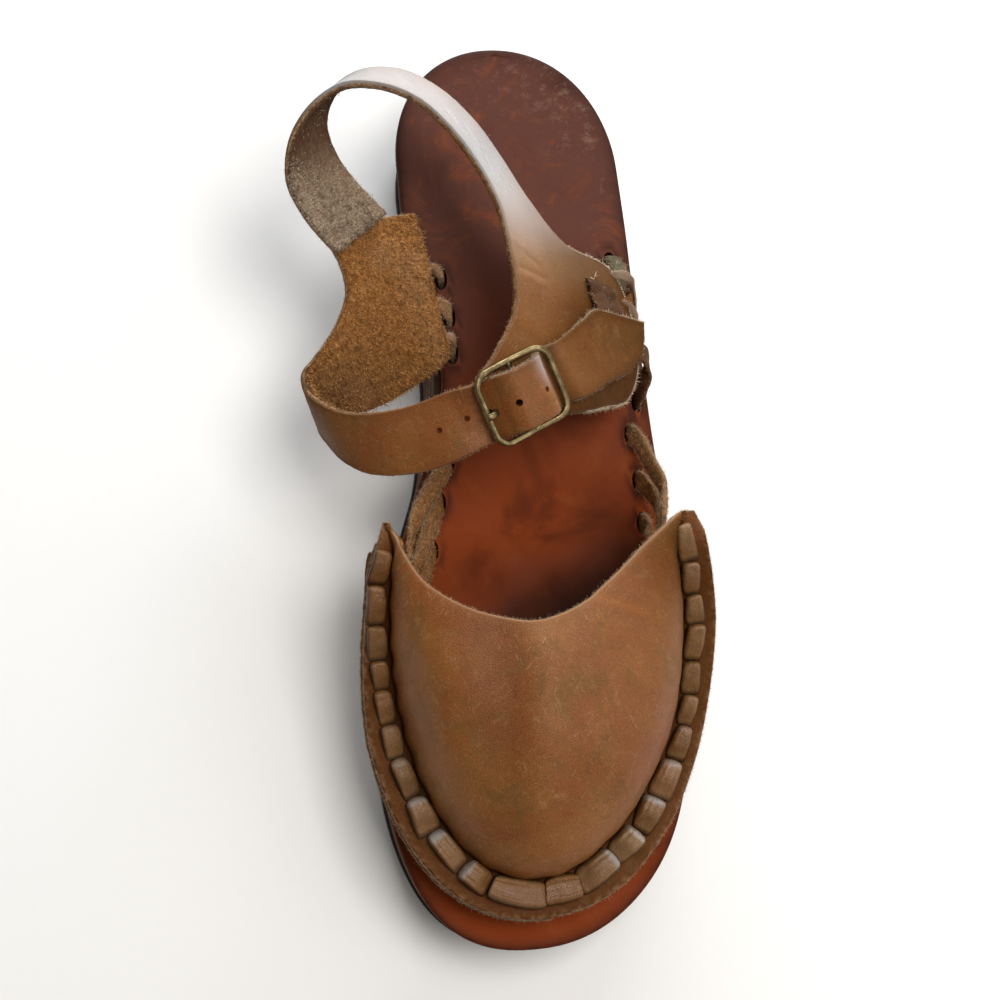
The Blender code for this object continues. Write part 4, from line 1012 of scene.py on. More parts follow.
def buildWall():
    reach = 1 - 2 * vampShape["wallStart"]
    alongs = vampShape["wallStart"] + reach * spaced(380, (0.0, 0.0005, 0.0015, 0.003, 0.005))
    grid = toWorld(wallGrid(alongs))
    away = unit(grid - grid.mean(axis=1, keepdims=True))
    near = np.exp(-edgeDistance(grid) / 1.2)
    grid = grid + away * (near * lumps(grid, 1.8, 8.0) * 0.12 * mm)[..., None]
    # the finished face looks inward and up, so the thickness goes outward and down
    up = surfaceNormals(grid)[200, -6, 2]
    sign = 1.0 if up > 0 else -1.0
    shadow = 0.35 + 0.3 * np.exp(-edgeDistance(grid) / 1.5)
    piece, edge = leatherBody("vampWall", grid, vampShape["wallThickness"], 0.0,
                              [marginGrain, upperGrain, cutEdge], sign, 0.3,
                              marks={"shadow": shadow * 0.75, "wearAndSheen": 0.25 * near, "grey": 0 * near})
    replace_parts(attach(piece, "root"), "vamp_side_wall")
    return edge


vampEdge = buildVamp()
wallEdge = buildWall()
print("vamp done")


# seam lace: a row of crowned stitches

def stitchMiddle(along, half):  # how far outside the seam a stitch lies
    middle = np.maximum(np.minimum(seamMargin(along) - half, 0.0), half - 0.85 * seamCrease(along))
    lateral = smoothStep(along, 0.5, 0.62)
    middle = middle - stitchLook["toeIn"] * lateralToe(along)
    return middle - lateral * (stitchLook["lateralIn"] + stitchLook["tipIn"] * smoothStep(along, 0.86, 0.97))


def buildStitches():
    rng = np.random.default_rng(stitchLook["seed"] + 1)
    ends = stitchPlaces()
    rows, columns = 30, 22
    a = np.linspace(-1, 1, rows)
    a = np.sign(a) * np.abs(a) ** 0.7
    b = np.linspace(-1, 1, columns)
    b = np.sign(b) * np.abs(b) ** 0.75
    A, B = np.meshgrid(a, b, indexing="ij")
    each = rows * columns
    rim = rimFaces(gridBorder(rows, columns), each)
    points, faces, tone, dark, shine = [], [], [], [], []
    for number, (start, end) in enumerate(zip(ends, ends[1:])):
        centre = (start + end) / 2
        toToe = float(smoothStep(min(centre, 1 - centre), 0.20, 0.40))
        width = (stitchLook["wingWidth"] + (stitchLook["toeWidth"] - stitchLook["wingWidth"]) * toToe)
        width *= 1 + rng.normal(0, stitchLook["sizeVary"])
        high = stitchLook["wingHeight"] + (stitchLook["toeHeight"] - stitchLook["wingHeight"]) * toToe
        high *= 1 + rng.normal(0, 0.08)
        # heel is +1 where the stitch's far end looks toward the heel
        heel = A * np.clip((centre - 0.5) / 0.07, -1, 1)
        skew = math.radians(rng.normal(0, stitchLook["skew"]))
        wide = width / 2 * B * (1 - 0.10 * np.abs(A) ** 9) + rng.normal(0, 0.25) * A * B
        wide = wide - stitchLook["belly"] * (1 - A**2) * smoothStep(-B, -0.9, 1.0)
        run = 0.5 * (end - start) * seamLength
        bulge = 0.10 * run * (1 - B**2) * np.sign(centre - 0.5) * smoothStep(heel, 0.3, 1.0)
        long = run * (A - 0.05 * np.abs(B) ** 7 * A) + bulge
        cosine, sine = math.cos(skew), math.sin(skew)
        wide, long = wide * cosine + long * sine, long * cosine - wide * sine
        nose = (1 - smoothStep(heel, 0.52, 1.0) ** 2.4) ** 0.5  # round end toward the heel
        tuck = (1 - smoothStep(-heel, -0.2, 1.0) * 0.60) * (1 - smoothStep(-heel, 0.90, 1.0)) ** 0.5
        sides = (1 - np.abs(B) ** 5.0) ** (1 / 2.2)
        ribs = 0.05 * toToe * np.sin(B * 14 + rng.random() * 6) * smoothStep(heel, -0.6, 0.3)
        crown = np.clip(nose * tuck, 0, 1) * (sides + ribs * sides)
        lift = laceShape["lift"] - 0.9 + (high + 0.9) * crown * (1 + 0.12 * heel)
        along = centre + long / seamLength
        middle = stitchMiddle(along, width / 2) + rng.normal(0, 0.12)
        top = seamPoint(along, middle + wide, lift)
        bottom = seamPoint(along, middle + wide * 0.96, np.full_like(lift, laceShape["lift"] - 1.0))
        first = number * 2 * each
        points += [top.reshape(-1, 3), bottom.reshape(-1, 3)]
        faces += [gridFaces(rows, columns, first), gridFaces(rows, columns, first + each, True),
                  rim + first]
        # painted shade in the gaps between stitches and along their sides, with a random darker tone per
        # stitch
        gloom = 0.9 * smoothStep(-heel, 0.62, 0.96) + 0.85 * smoothStep(heel, 0.90, 1.0)
        gloom = gloom + 0.85 * smoothStep(B, 0.62, 0.96) + 0.75 * smoothStep(-B, 0.74, 1.0)
        gloom = np.clip(gloom + 0.22 * rng.random() + 0.12 * (1 - heel) / 2, 0, 0.94)
        # paler heelward ends on the toe stitches are a painted highlight; the random part is each stitch's
        # own paler tone
        pale = 0.10 * toToe * smoothStep(heel, 0.1, 0.8) * (1 - smoothStep(heel, 0.9, 1.0))
        pale = pale + 0.10 * rng.random()
        # painted highlight on the rounded heelward ends of the toe stitches
        gleam = toToe * smoothStep(heel, 0.50, 0.78) * (1 - smoothStep(heel, 0.84, 0.97))
        gleam = gleam * (1 - np.abs(B) ** 3)
        shine += [np.ravel(0.5 * gleam), np.zeros(each)]
        tone += [np.ravel(pale * np.ones_like(A)), np.zeros(each)]
        dark += [gloom.ravel(), np.full(each, 0.92)]
    grid = toWorld(np.concatenate(points))
    wave = np.stack([lumps(grid, 2.4, seed, 2) for seed in (1.0, 2.0, 3.0)], axis=-1)
    piece = makeMesh("seamLaceStitches", grid + wave * 0.14 * mm, np.concatenate(faces), [laceGrain], None,
                     {"shadow": np.concatenate(dark), "wearAndSheen": np.concatenate(tone),
                      "paintedSheen": np.concatenate(shine)})
    faceOutward(piece)
    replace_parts(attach(piece, "root"), "vamp_seam_lace")


def buildUnderLace():  # the same thong under the margin, passing from hole to hole
    count = round(seamLength * (laceShape["last"] - laceShape["first"]) / laceShape["pitch"])
    pitch = (laceShape["last"] - laceShape["first"]) / count
    base = -vampShape["thickness"] - vampShape["wallThickness"] - 4 * gap
    steps = np.linspace(0, count, count * 14 + 1)
    phase = steps % 1.0
    crown = np.where((phase > 0) & (phase < 1), np.sin(np.pi * phase) ** 0.3, 0)
    profile = np.array([(-0.5, 0.0), (-0.49, 0.35), (-0.42, 0.72), (-0.28, 0.93), (-0.1, 1.0), (0.1, 1.0),
                        (0.28, 0.93), (0.42, 0.72), (0.49, 0.35), (0.5, 0.0)])
    along = laceShape["first"] + steps * pitch
    half = laceShape["width"] / 2
    middle = np.maximum(np.minimum(seamMargin(along) - half, 0.0), half - 0.85 * seamCrease(along))
    wide = 0.8 + 0.2 * crown
    rings = []
    for across, rise in profile:
        lift = base - rise * laceShape["height"] * (0.4 + 0.6 * crown)
        rings.append(seamPoint(along, middle + across * laceShape["width"] * wide, lift))
    grid = toWorld(np.stack(rings, axis=1))
    grid = grid + np.stack([lumps(grid, 2.2, s, 1) for s in (4.0, 5.0, 6.0)], axis=-1) * 0.12 * mm
    rows, columns = grid.shape[:2]
    faces = gridFaces(rows, columns).tolist()
    faces += [(i * columns, (i + 1) * columns, (i + 1) * columns + columns - 1, i * columns + columns - 1)
              for i in range(rows - 1)]
    faces += [tuple(range(columns)), tuple((rows - 1) * columns + j for j in range(columns))]
    shadow = np.repeat(0.25 + 0.6 * (1 - crown), columns)
    piece = makeMesh("seamLaceUnderside", grid, faces, [laceGrain], None,
                     {"shadow": shadow, "wearAndSheen": 0 * shadow})
    faceOutward(piece)
    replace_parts(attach(piece, "root"), "vamp_outer_lace")


buildStitches()
buildUnderLace()
print("seam lace done")


# ankle cuff

cuffShape = {
    "thickness": 2.3, "strapHalf": 8.4, "across": 70, "perRuling": 12,
    # top edge (x, back, height), then low edge
    "lateral": [
        (-20.0, 112.5, 69.5, -15.5, 129.0, 63.5), (-15.0, 106.5, 69.5, -0.5, 122.0, 61.0),
        (-13.0, 103.0, 69.5, 9.0, 120.0, 57.0), (-11.0, 100.0, 69.0, 19.0, 117.0, 50.0),
        (-10.0, 98.0, 69.0, 28.0, 113.0, 41.0), (-9.0, 96.0, 69.0, 32.0, 106.0, 38.0),
        (-7.5, 90.0, 68.5, 32.5, 88.0, 37.0), (-7.5, 83.0, 69.0, 26.5, 73.0, 39.5),
        (-9.0, 75.5, 71.0, 11.0, 69.5, 52.0), (-11.5, 64.5, 73.0, -0.5, 58.5, 59.0),
        (-16.5, 54.0, 74.0, -8.0, 46.5, 61.0), (-24.0, 43.5, 75.0, -15.5, 35.5, 62.0),
        (-33.0, 34.5, 74.0, -25.0, 26.0, 62.0), (-42.5, 30.0, 72.0, -35.0, 20.5, 61.0),
        (-52.0, 29.0, 69.0, -45.5, 20.0, 59.0), (-60.5, 34.0, 66.0, -53.5, 25.0, 56.5),
        (-66.0, 42.0, 63.0, -56.0, 33.0, 54.0), (-67.5, 52.5, 60.0, -53.0, 42.0, 51.5),
        (-63.0, 62.5, 58.0, -47.0, 50.0, 49.5), (-55.0, 72.0, 56.0, -39.5, 57.5, 47.0)],
    # ruling, depth of the shade on the strap
    "medialShade": [(0, 0.52), (2, 0.50), (3, 0.40), (4, 0.72), (6, 0.25), (8, 0.0), (11, 0.0),
                    (13, 0.04), (14, 0.42), (15, 0.04), (17, 0.0), (19, 0.44), (20, 0.52), (23, 0.20),
                    (27, 0.0)],
    "gleam": (8, 0.012, 0.34),  # ruling, reach along the strap, strength
    "strapPoint": [
        (34.4, 90.4, 45.0, 33.2, 99.8, 43.6), (18.6, 89.2, 54.0, 28.6, 105.6, 46.6),
        (13.0, 93.4, 57.6, 20.4, 110.4, 52.8), (3.6, 101.2, 63.2, 11.4, 116.2, 59.6)],
    "strapCrest": [(12.6, 1.6), (10.2, 2.2), (8.9, 3.4), (8.0, 4.9), (6.9, 7.4), (4.6, 8.8), (0.4, 9.15),
                   (-3.0, 8.9), (-4.2, 8.1), (-6.4, 5.2), (-8.6, 3.1), (-11.6, 1.9)],
    "medialRear": [
        (-25.6, 115.2, 68.6, -21.2, 131.9, 65.2), (-40.5, 118.5, 62.0, -35.0, 135.5, 58.0),
        (-55.0, 117.5, 57.0, -51.0, 132.0, 49.0), (-61.0, 114.0, 55.0, -57.0, 125.0, 45.0),
        (-64.5, 110.0, 54.0, -60.0, 118.0, 42.0), (-65.0, 106.0, 53.5, -56.0, 114.5, 40.0),
        (-62.0, 101.5, 53.0, -47.0, 113.0, 39.0), (-58.5, 96.5, 52.5, -34.0, 106.5, 38.0),
        (-55.0, 90.5, 52.0, -22.5, 97.0, 37.0), (-52.5, 84.0, 52.0, -24.0, 88.0, 37.0),
        (-52.5, 77.5, 51.5, -26.0, 76.0, 37.0), (-56.5, 67.0, 51.0, -29.0, 59.5, 38.0),
        (-59.0, 63.0, 51.5, -30.5, 54.5, 39.0)],
    # creases: from and to (x, back), half width, height; troughs are negative
    "lateralCreases": [((-5.4, 82.8), (2.2, 83.9), 1.3, 0.30), ((-5.8, 81.3), (1.7, 82.3), 1.1, -0.30),
                       ((-4.2, 76.3), (-0.1, 78.8), 1.0, -0.24), ((-8.9, 73.6), (-3.6, 76.0), 0.9, 0.20),
                       ((-24.8, 36.6), (-21.7, 41.4), 0.8, -0.16),
                       ((-19.3, 40.7), (-16.7, 46.1), 0.8, -0.16),
                       ((-14.4, 49.4), (-12.8, 54.8), 0.7, -0.14), ((-10.4, 55.0), (-7.8, 60.5), 0.8, 0.14)],
    "medialCreases": [((-49.0, 124.3), (-45.7, 131.5), 1.8, -0.32),
                      ((-40.6, 126.8), (-37.7, 132.9), 1.6, -0.28),
                      ((-34.0, 123.8), (-31.4, 130.4), 1.4, 0.28),
                      ((-26.0, 117.7), (-22.9, 126.0), 1.5, -0.26),
                      ((-57.5, 119.8), (-54.7, 127.5), 2.2, 0.30)],
    # along the strap from the middle of the buckle, across, lift, radius
    "strapHoles": [(-3.0, -0.3, 9.0, 1.0), (5.1, -0.7, 8.4, 0.75), (-9.3, -0.6, 2.8, 1.1),
                   (-15.3, 0.4, 0.6, 0.85), (-21.2, -0.3, -4.6, 0.85)],
}
buckleShape = {
    "base": (-9.1, 116.3, 65.3), "along": (0.884, 0.453, -0.120), "across": (-0.385, 0.846, 0.356),
    "length": 25.0, "width": 22.4, "wire": 2.1, "corner": 4.2, "lift": 5.6, "dip": 1.0,
    "pin": 0.95, "prongAcross": -0.6,
    "prong": [(2.5, 3.4), (2.2, 1.6), (1.3, 0.5), (0.1, 0.15), (-1.3, 0.3)],
    "chapeThickness": 1.3, "chapeWidth": 13.2, "chapeFlat": 2.8, "chapeTopEnd": 5.0,
    "chapeTopSag": 0.5, "chapeLowEnd": 5.6,
}


def buckleAxes():
    along = unit(np.array(buckleShape["along"]))
    across = np.array(buckleShape["across"])
    across = unit(across - along * across.dot(along))
    return along, across, np.cross(along, across)


buckleAlong, buckleAcross, buckleUp = buckleAxes()


def bucklePoint(along, across, lift):  # metres
    along, across, lift = (np.asarray(v, float)[..., None] for v in (along, across, lift))
    offset = buckleAlong * along + buckleAcross * across + buckleUp * lift
    return toWorld(buckleShape["base"]) + offset * mm


def rulingEnds(rows):
    rows = np.array(rows)
    return toWorld(rows[:, :3]), toWorld(rows[:, 3:])


def medialEnds():
    tops, lows = rulingEnds(cuffShape["strapPoint"])
    crest = np.array(cuffShape["strapCrest"])
    half = cuffShape["strapHalf"]
    crestTop = bucklePoint(crest[:, 0], np.full(len(crest), half), crest[:, 1])
    crestLow = bucklePoint(crest[:, 0], np.full(len(crest), -half), crest[:, 1])
    rearTop, rearLow = rulingEnds(cuffShape["medialRear"])
    return np.concatenate([tops, crestTop, rearTop]), np.concatenate([lows, crestLow, rearLow])


def ruledSurface(tops, lows, straight):
    knots = runAlong((tops + lows) / 2)
    per = cuffShape["perRuling"]
    first = knots[1] * np.array([0.0, 0.03, 0.08, 0.16, 0.3, 0.5, 0.75])
    rest = np.concatenate([np.linspace(a, b, per, endpoint=False) for a, b in zip(knots[1:-1], knots[2:])])
    last = knots[-1] - (knots[-1] - rest[-1]) * np.array([0.6, 0.35, 0.15, 0.05, 0.0])
    at = np.concatenate([first, rest, last])
    top, low = through(knots, tops, at), through(knots, lows, at)
    if straight:  # the strap's point is cut straight
        for made, ends in ((top, tops), (low, lows)):
            made[:7] = ends[0] + (ends[1] - ends[0]) * (first / knots[1])[:, None]
    across = spaced(cuffShape["across"], (0.0, 0.006, 0.016, 0.03, 0.045))
    return top[:, None] + (low - top)[:, None] * across[None, :, None], at, across


def cuffPiece(name, node, tops, lows, straight, sign, seed, creases, marks):
    grid, at, across = ruledSurface(tops, lows, straight)
    grid = roughenEdges(grid, 0.11, 1.3, seed)
    normals = surfaceNormals(grid) * sign
    calm = smoothStep(edgeDistance(grid), 0.0, 4.0)
    folds = creaseRelief(grid, creases)
    grid = grid + normals * ((0.25 * lumps(grid, 12, seed + 1) * calm + folds) * mm)[..., None]
    near = edgeDistance(grid)
    nap = lumps(grid, 1.05, seed + 2, 2) * 0.22 + lumps(grid, 0.62, seed + 3, 1) * 0.12
    nap = nap * smoothStep(near, 0.0, 0.8)
    paint = {"shadow": 0.35 * np.exp(-near / 1.1), "wearAndSheen": 0.16 * np.exp(-near / 0.3), "grey": 0 * near}
    paint.update({key: make(at / at[-1], across, near) for key, make in marks.items()})
    piece, edge = leatherBody(name, grid, cuffShape["thickness"], 0.5,
                              [upperGrain, quarterSuede, cutEdge], sign, 0.36, underRelief=nap, marks=paint)
    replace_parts(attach(piece, "root"), node)
    return piece, edge


def greyStrap(along, across, near):
    return 0.85 * smoothStep(along, 0.55, 0.72)[:, None] * np.ones_like(near)


def strapSheen(along, across, near):  # painted pale highlight round the back of the heel, a sheen laid into the colour
    rise = smoothStep(along, 0.325, 0.50) * (1 - smoothStep(along, 0.74, 0.84))
    rise = rise * (1 - 0.26 * smoothStep(along, 0.50, 0.64))
    return 0.61 * rise[:, None] * (0.78 + 0.22 * np.cos(3.0 * (across - 0.35)))[None]


def quarterWearAndSheen(along, across, near):  # worn paler edges, and a painted warm highlight where the strap leaves the quarter, at the start of the heel strap's painted sheen
    warm = smoothStep(along, 0.25, 0.37) * (1 - smoothStep(along, 0.44, 0.54))
    return 0.16 * np.exp(-near / 0.3) + 0.30 * warm[:, None] * (1 - 0.5 * smoothStep(across, 0.3, 0.9))[None]


def quarterShade(along, across, near):
    quarter = (1 - smoothStep(along, 0.34, 0.46))[:, None]
    low = (0.18 + 0.54 * smoothStep(across, 0.0, 0.7))[None] * quarter
    inside = smoothStep(along, 0.70, 0.78) * (1 - smoothStep(along, 0.84, 0.96))
    return np.clip(0.40 * np.exp(-near / 1.0) * (1 - 0.5 * quarter) + low + 0.84 * inside[:, None], 0, 0.88)


def rulingPlaces():  # where the medial piece's rulings lie, as shares of its length
    run = runAlong((medialTops + medialLows) / 2)
    return run / run[-1]


def instepShade(along, across, near):
    rows, amounts = zip(*cuffShape["medialShade"])
    depth = np.interp(along, rulingPlaces()[list(rows)], amounts)
    return np.clip(0.35 * np.exp(-near / 1.1) + depth[:, None], 0, 0.85)


def instepGleam(along, across, near):  # painted highlight on the ridge inside the frame
    ruling, reach, amount = cuffShape["gleam"]
    ridge = amount * hump(along, rulingPlaces()[ruling], reach)
    return ridge[:, None] * smoothStep(across, 0.75, 0.15)[None]


lateralTops, lateralLows = rulingEnds(cuffShape["lateral"])
medialTops, medialLows = medialEnds()
lateralCuff, lateralEdge = cuffPiece("lateralQuarter", "lateral_quarter_and_heel_strap", lateralTops,
                                     lateralLows, False, -1.0, 21.0, cuffShape["lateralCreases"],
                                     {"grey": greyStrap, "paintedSheen": strapSheen, "shadow": quarterShade,
                                      "wearAndSheen": quarterWearAndSheen})
medialCuff, medialEdge = cuffPiece("medialQuarter", "medial_quarter_and_instep_strap", medialTops,
                                   medialLows, True, 1.0, 27.0, cuffShape["medialCreases"],
                                   {"shadow": instepShade, "paintedSheen": instepGleam})


strapSeam = {"rows": (5, 15), "first": 6, "last": 64, "stitches": 8, "length": 2.4, "thread": 0.8,
             "lift": 1.2}


def buildStrapSeam():  # thread on the medial quarter's grain side; it doesn't reach the heel strap
    grid = ruledSurface(medialTops, medialLows, True)[0]
    normals = surfaceNormals(grid)
    points, faces = [], []
    turns = np.linspace(0, 2 * np.pi, 8, endpoint=False)
    for row in strapSeam["rows"]:
        for column in np.linspace(strapSeam["first"], strapSeam["last"], strapSeam["stitches"]).astype(int):
            up, middle = normals[-row, column], grid[-row, column]
            run = unit(grid[-row, column + 1] - grid[-row, column - 1])
            side = np.cross(run, up)
            start = len(points)
            for place, size in ((-1.0, 0.2), (-0.8, 0.75), (0.0, 1.0), (0.8, 0.75), (1.0, 0.2)):
                centre = middle + (run * place * strapSeam["length"] / 2
                                   + up * (strapSeam["lift"] - 0.4 * place**2)) * mm
                points += [centre + (side * np.cos(t) + up * np.sin(t)) * size * strapSeam["thread"] / 2 * mm
                           for t in turns]
            faces += ringFaces(5, 8, start)
            faces += [tuple(range(start, start + 8)), tuple(range(start + 32, start + 40))]
    piece = faceOutward(makeMesh("strapSeamStitches", np.array(points), faces, [fibrePale]))
    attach(piece, "root")


buildStrapSeam()


def punchStrap():
    shape = bmesh.new()
    spots = np.array([v.co for v in medialCuff.data.vertices])
    for along, across, lift, radius in cuffShape["strapHoles"]:
        middle = bucklePoint(along, across, lift)
        nearest = int(np.argmin(np.linalg.norm(spots - middle, axis=1)))
        turn = medialCuff.data.vertices[nearest].normal.to_track_quat("Z", "Y").to_matrix().to_4x4()
        bmesh.ops.create_cone(shape, cap_ends=True, segments=28, radius1=radius * mm, radius2=radius * mm,
                              depth=5.0 * mm, matrix=Matrix.Translation(Vector(spots[nearest])) @ turn)
    cutHoles(medialCuff, "strapPunch", shape)


punchStrap()
print("cuff done")


# buckle

def tube(name, path, section, cyclic, finishes, marks=None, hint=(0, 0, 1)):
    # closed tube along path points in metres; section is a ring of (side, up) offsets in mm, per point
    path = np.asarray(path, float)
    count = len(path)
    run = np.roll(path, -1, axis=0) - np.roll(path, 1, axis=0) if cyclic else np.gradient(path, axis=0)
    run = unit(run)
    hints = np.broadcast_to(np.asarray(hint, float), path.shape)
    side = unit(np.cross(hints, run))
    up = np.cross(run, side)
    section = np.asarray(section, float)
    if section.ndim == 2:
        section = np.broadcast_to(section, (count,) + section.shape)
    points = path[:, None] + (side[:, None] * section[..., :1] + up[:, None] * section[..., 1:]) * mm
    around = section.shape[1]
    faces = ringFaces(count, around, 0, cyclic)
    if not cyclic:
        faces += [tuple(range(around))[::-1], tuple((count - 1) * around + j for j in range(around))]
    paint = {key: np.repeat(value, around) for key, value in (marks or {}).items()}
    return faceOutward(makeMesh(name, points, faces, finishes, None, paint))


def roundSection(width, height, power=2.0, around=20):
    angle = 2 * np.pi * np.arange(around) / around
    c, s = np.cos(angle), np.sin(angle)
    return np.stack([np.sign(c) * np.abs(c) ** (2 / power) * width / 2,
                     np.sign(s) * np.abs(s) ** (2 / power) * height / 2], axis=1)


def buildBuckle():
    length, width = buckleShape["length"] - buckleShape["wire"], buckleShape["width"] - buckleShape["wire"]
    corner = buckleShape["corner"]
    path = []
    quarters = ((1, 1), (-1, 1), (-1, -1), (1, -1))
    for index, (sx, sy) in enumerate(quarters):
        centre = ((length / 2 - corner) * sx, (width / 2 - corner) * sy)
        for k in range(15):
            angle = math.pi / 2 * (index + k / 14)
            path.append((centre[0] + corner * math.cos(angle), centre[1] + corner * math.sin(angle)))
        nextSx, nextSy = quarters[(index + 1) % 4]
        ahead = ((length / 2 - corner) * nextSx, (width / 2 - corner) * nextSy)
        side = (corner * math.cos(angle), corner * math.sin(angle))
        for k in range(1, 12):
            t = k / 12
            path.append((centre[0] + side[0] + (ahead[0] - centre[0]) * t,
                         centre[1] + side[1] + (ahead[1] - centre[1]) * t))
    path = np.array(path)
    onSide = smoothStep(np.abs(path[:, 1]), width / 2 - 1.2, width / 2 - 0.1)
    dip = buckleShape["dip"] * (1 - np.abs(path[:, 0]) / (length / 2)) * onSide
    points = bucklePoint(path[:, 0], path[:, 1], buckleShape["lift"] - dip)
    section = roundSection(buckleShape["wire"] * 0.86, buckleShape["wire"] * 0.84, 2.7, 28)
    shadow = 0.25 + 0.25 * lumps(points, 4.0, 2.0)
    frameRing = tube("buckleFrame", points, section, True, [brass], {"shadow": np.clip(shadow, 0, 0.6)},
                     hint=buckleUp)
    half = width / 2
    barLift = buckleShape["lift"] - buckleShape["dip"]
    across = np.linspace(-half, half, 24)
    bar = tube("buckleCentreBar", bucklePoint(np.zeros(24), across, np.full(24, barLift)),
               roundSection(buckleShape["pin"] * 2, buckleShape["pin"] * 2, 2.0, 16), False, [brass],
               {"shadow": np.full(24, 0.6)}, hint=buckleUp)
    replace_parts(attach(frameRing, "root"), "buckle_frame")
    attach(bar, "root")


def buildProng():
    bar = (buckleShape["length"] - buckleShape["wire"]) / 2
    rest = buckleShape["lift"] + buckleShape["wire"] / 2 + buckleShape["pin"] + gap
    rows = np.array(buckleShape["prong"])
    knots = np.arange(len(rows))
    at = np.linspace(0, len(rows) - 1, 26)
    path = through(knots, rows, at)
    points = bucklePoint(path[:, 0] - bar, np.full(26, buckleShape["prongAcross"]), rest - path[:, 1])
    base = roundSection(buckleShape["pin"] * 2, buckleShape["pin"] * 1.8, 2.4, 18)
    taper = 0.55 + 0.45 * np.minimum(1, np.minimum(np.arange(26) / 2.5, (25 - np.arange(26)) / 2.5)) ** 0.5
    piece = tube("buckleProng", points, base[None] * taper[:, None, None], False, [brass],
                 {"shadow": np.full(26, 0.35)}, hint=buckleUp)
    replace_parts(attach(piece, "root"), "buckle_prong")


def buildChape():
    barLift = buckleShape["lift"] - buckleShape["dip"]
    reach = buckleShape["pin"] + gap + buckleShape["chapeThickness"]
    path = [(buckleShape["chapeTopEnd"], barLift + reach - buckleShape["chapeTopSag"]),
            (buckleShape["chapeFlat"], barLift + reach)]
    for k in range(25):
        angle = math.pi / 2 + math.pi * k / 24
        path.append((reach * math.cos(angle), barLift + reach * math.sin(angle)))
    path += [(buckleShape["chapeFlat"], barLift - reach), (buckleShape["chapeLowEnd"], barLift - reach)]
    path = np.array(path)
    across = np.linspace(-0.5, 0.5, 22) * buckleShape["chapeWidth"]
    grid = np.stack([bucklePoint(path[:, 0], np.full(len(path), a), path[:, 1]) for a in across], axis=1)
    grid = roughenEdges(grid, 0.15, 1.5, 41.0)
    outward = surfaceNormals(grid)[14, 10].dot(-buckleAlong)
    bare = np.zeros(grid.shape[:2])
    piece = leatherBody("buckleChape", grid, buckleShape["chapeThickness"], 0.0,
                        [upperGrain, quarterSuede, cutEdge], 1.0 if outward > 0 else -1.0, 0.4,
                        marks={"shadow": bare + 0.3, "wearAndSheen": bare, "grey": bare})[0]
    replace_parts(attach(piece, "root"), "buckle_chape")


buildBuckle()
buildProng()
buildChape()
print("buckle done")


# thongs between the footbed and the upper

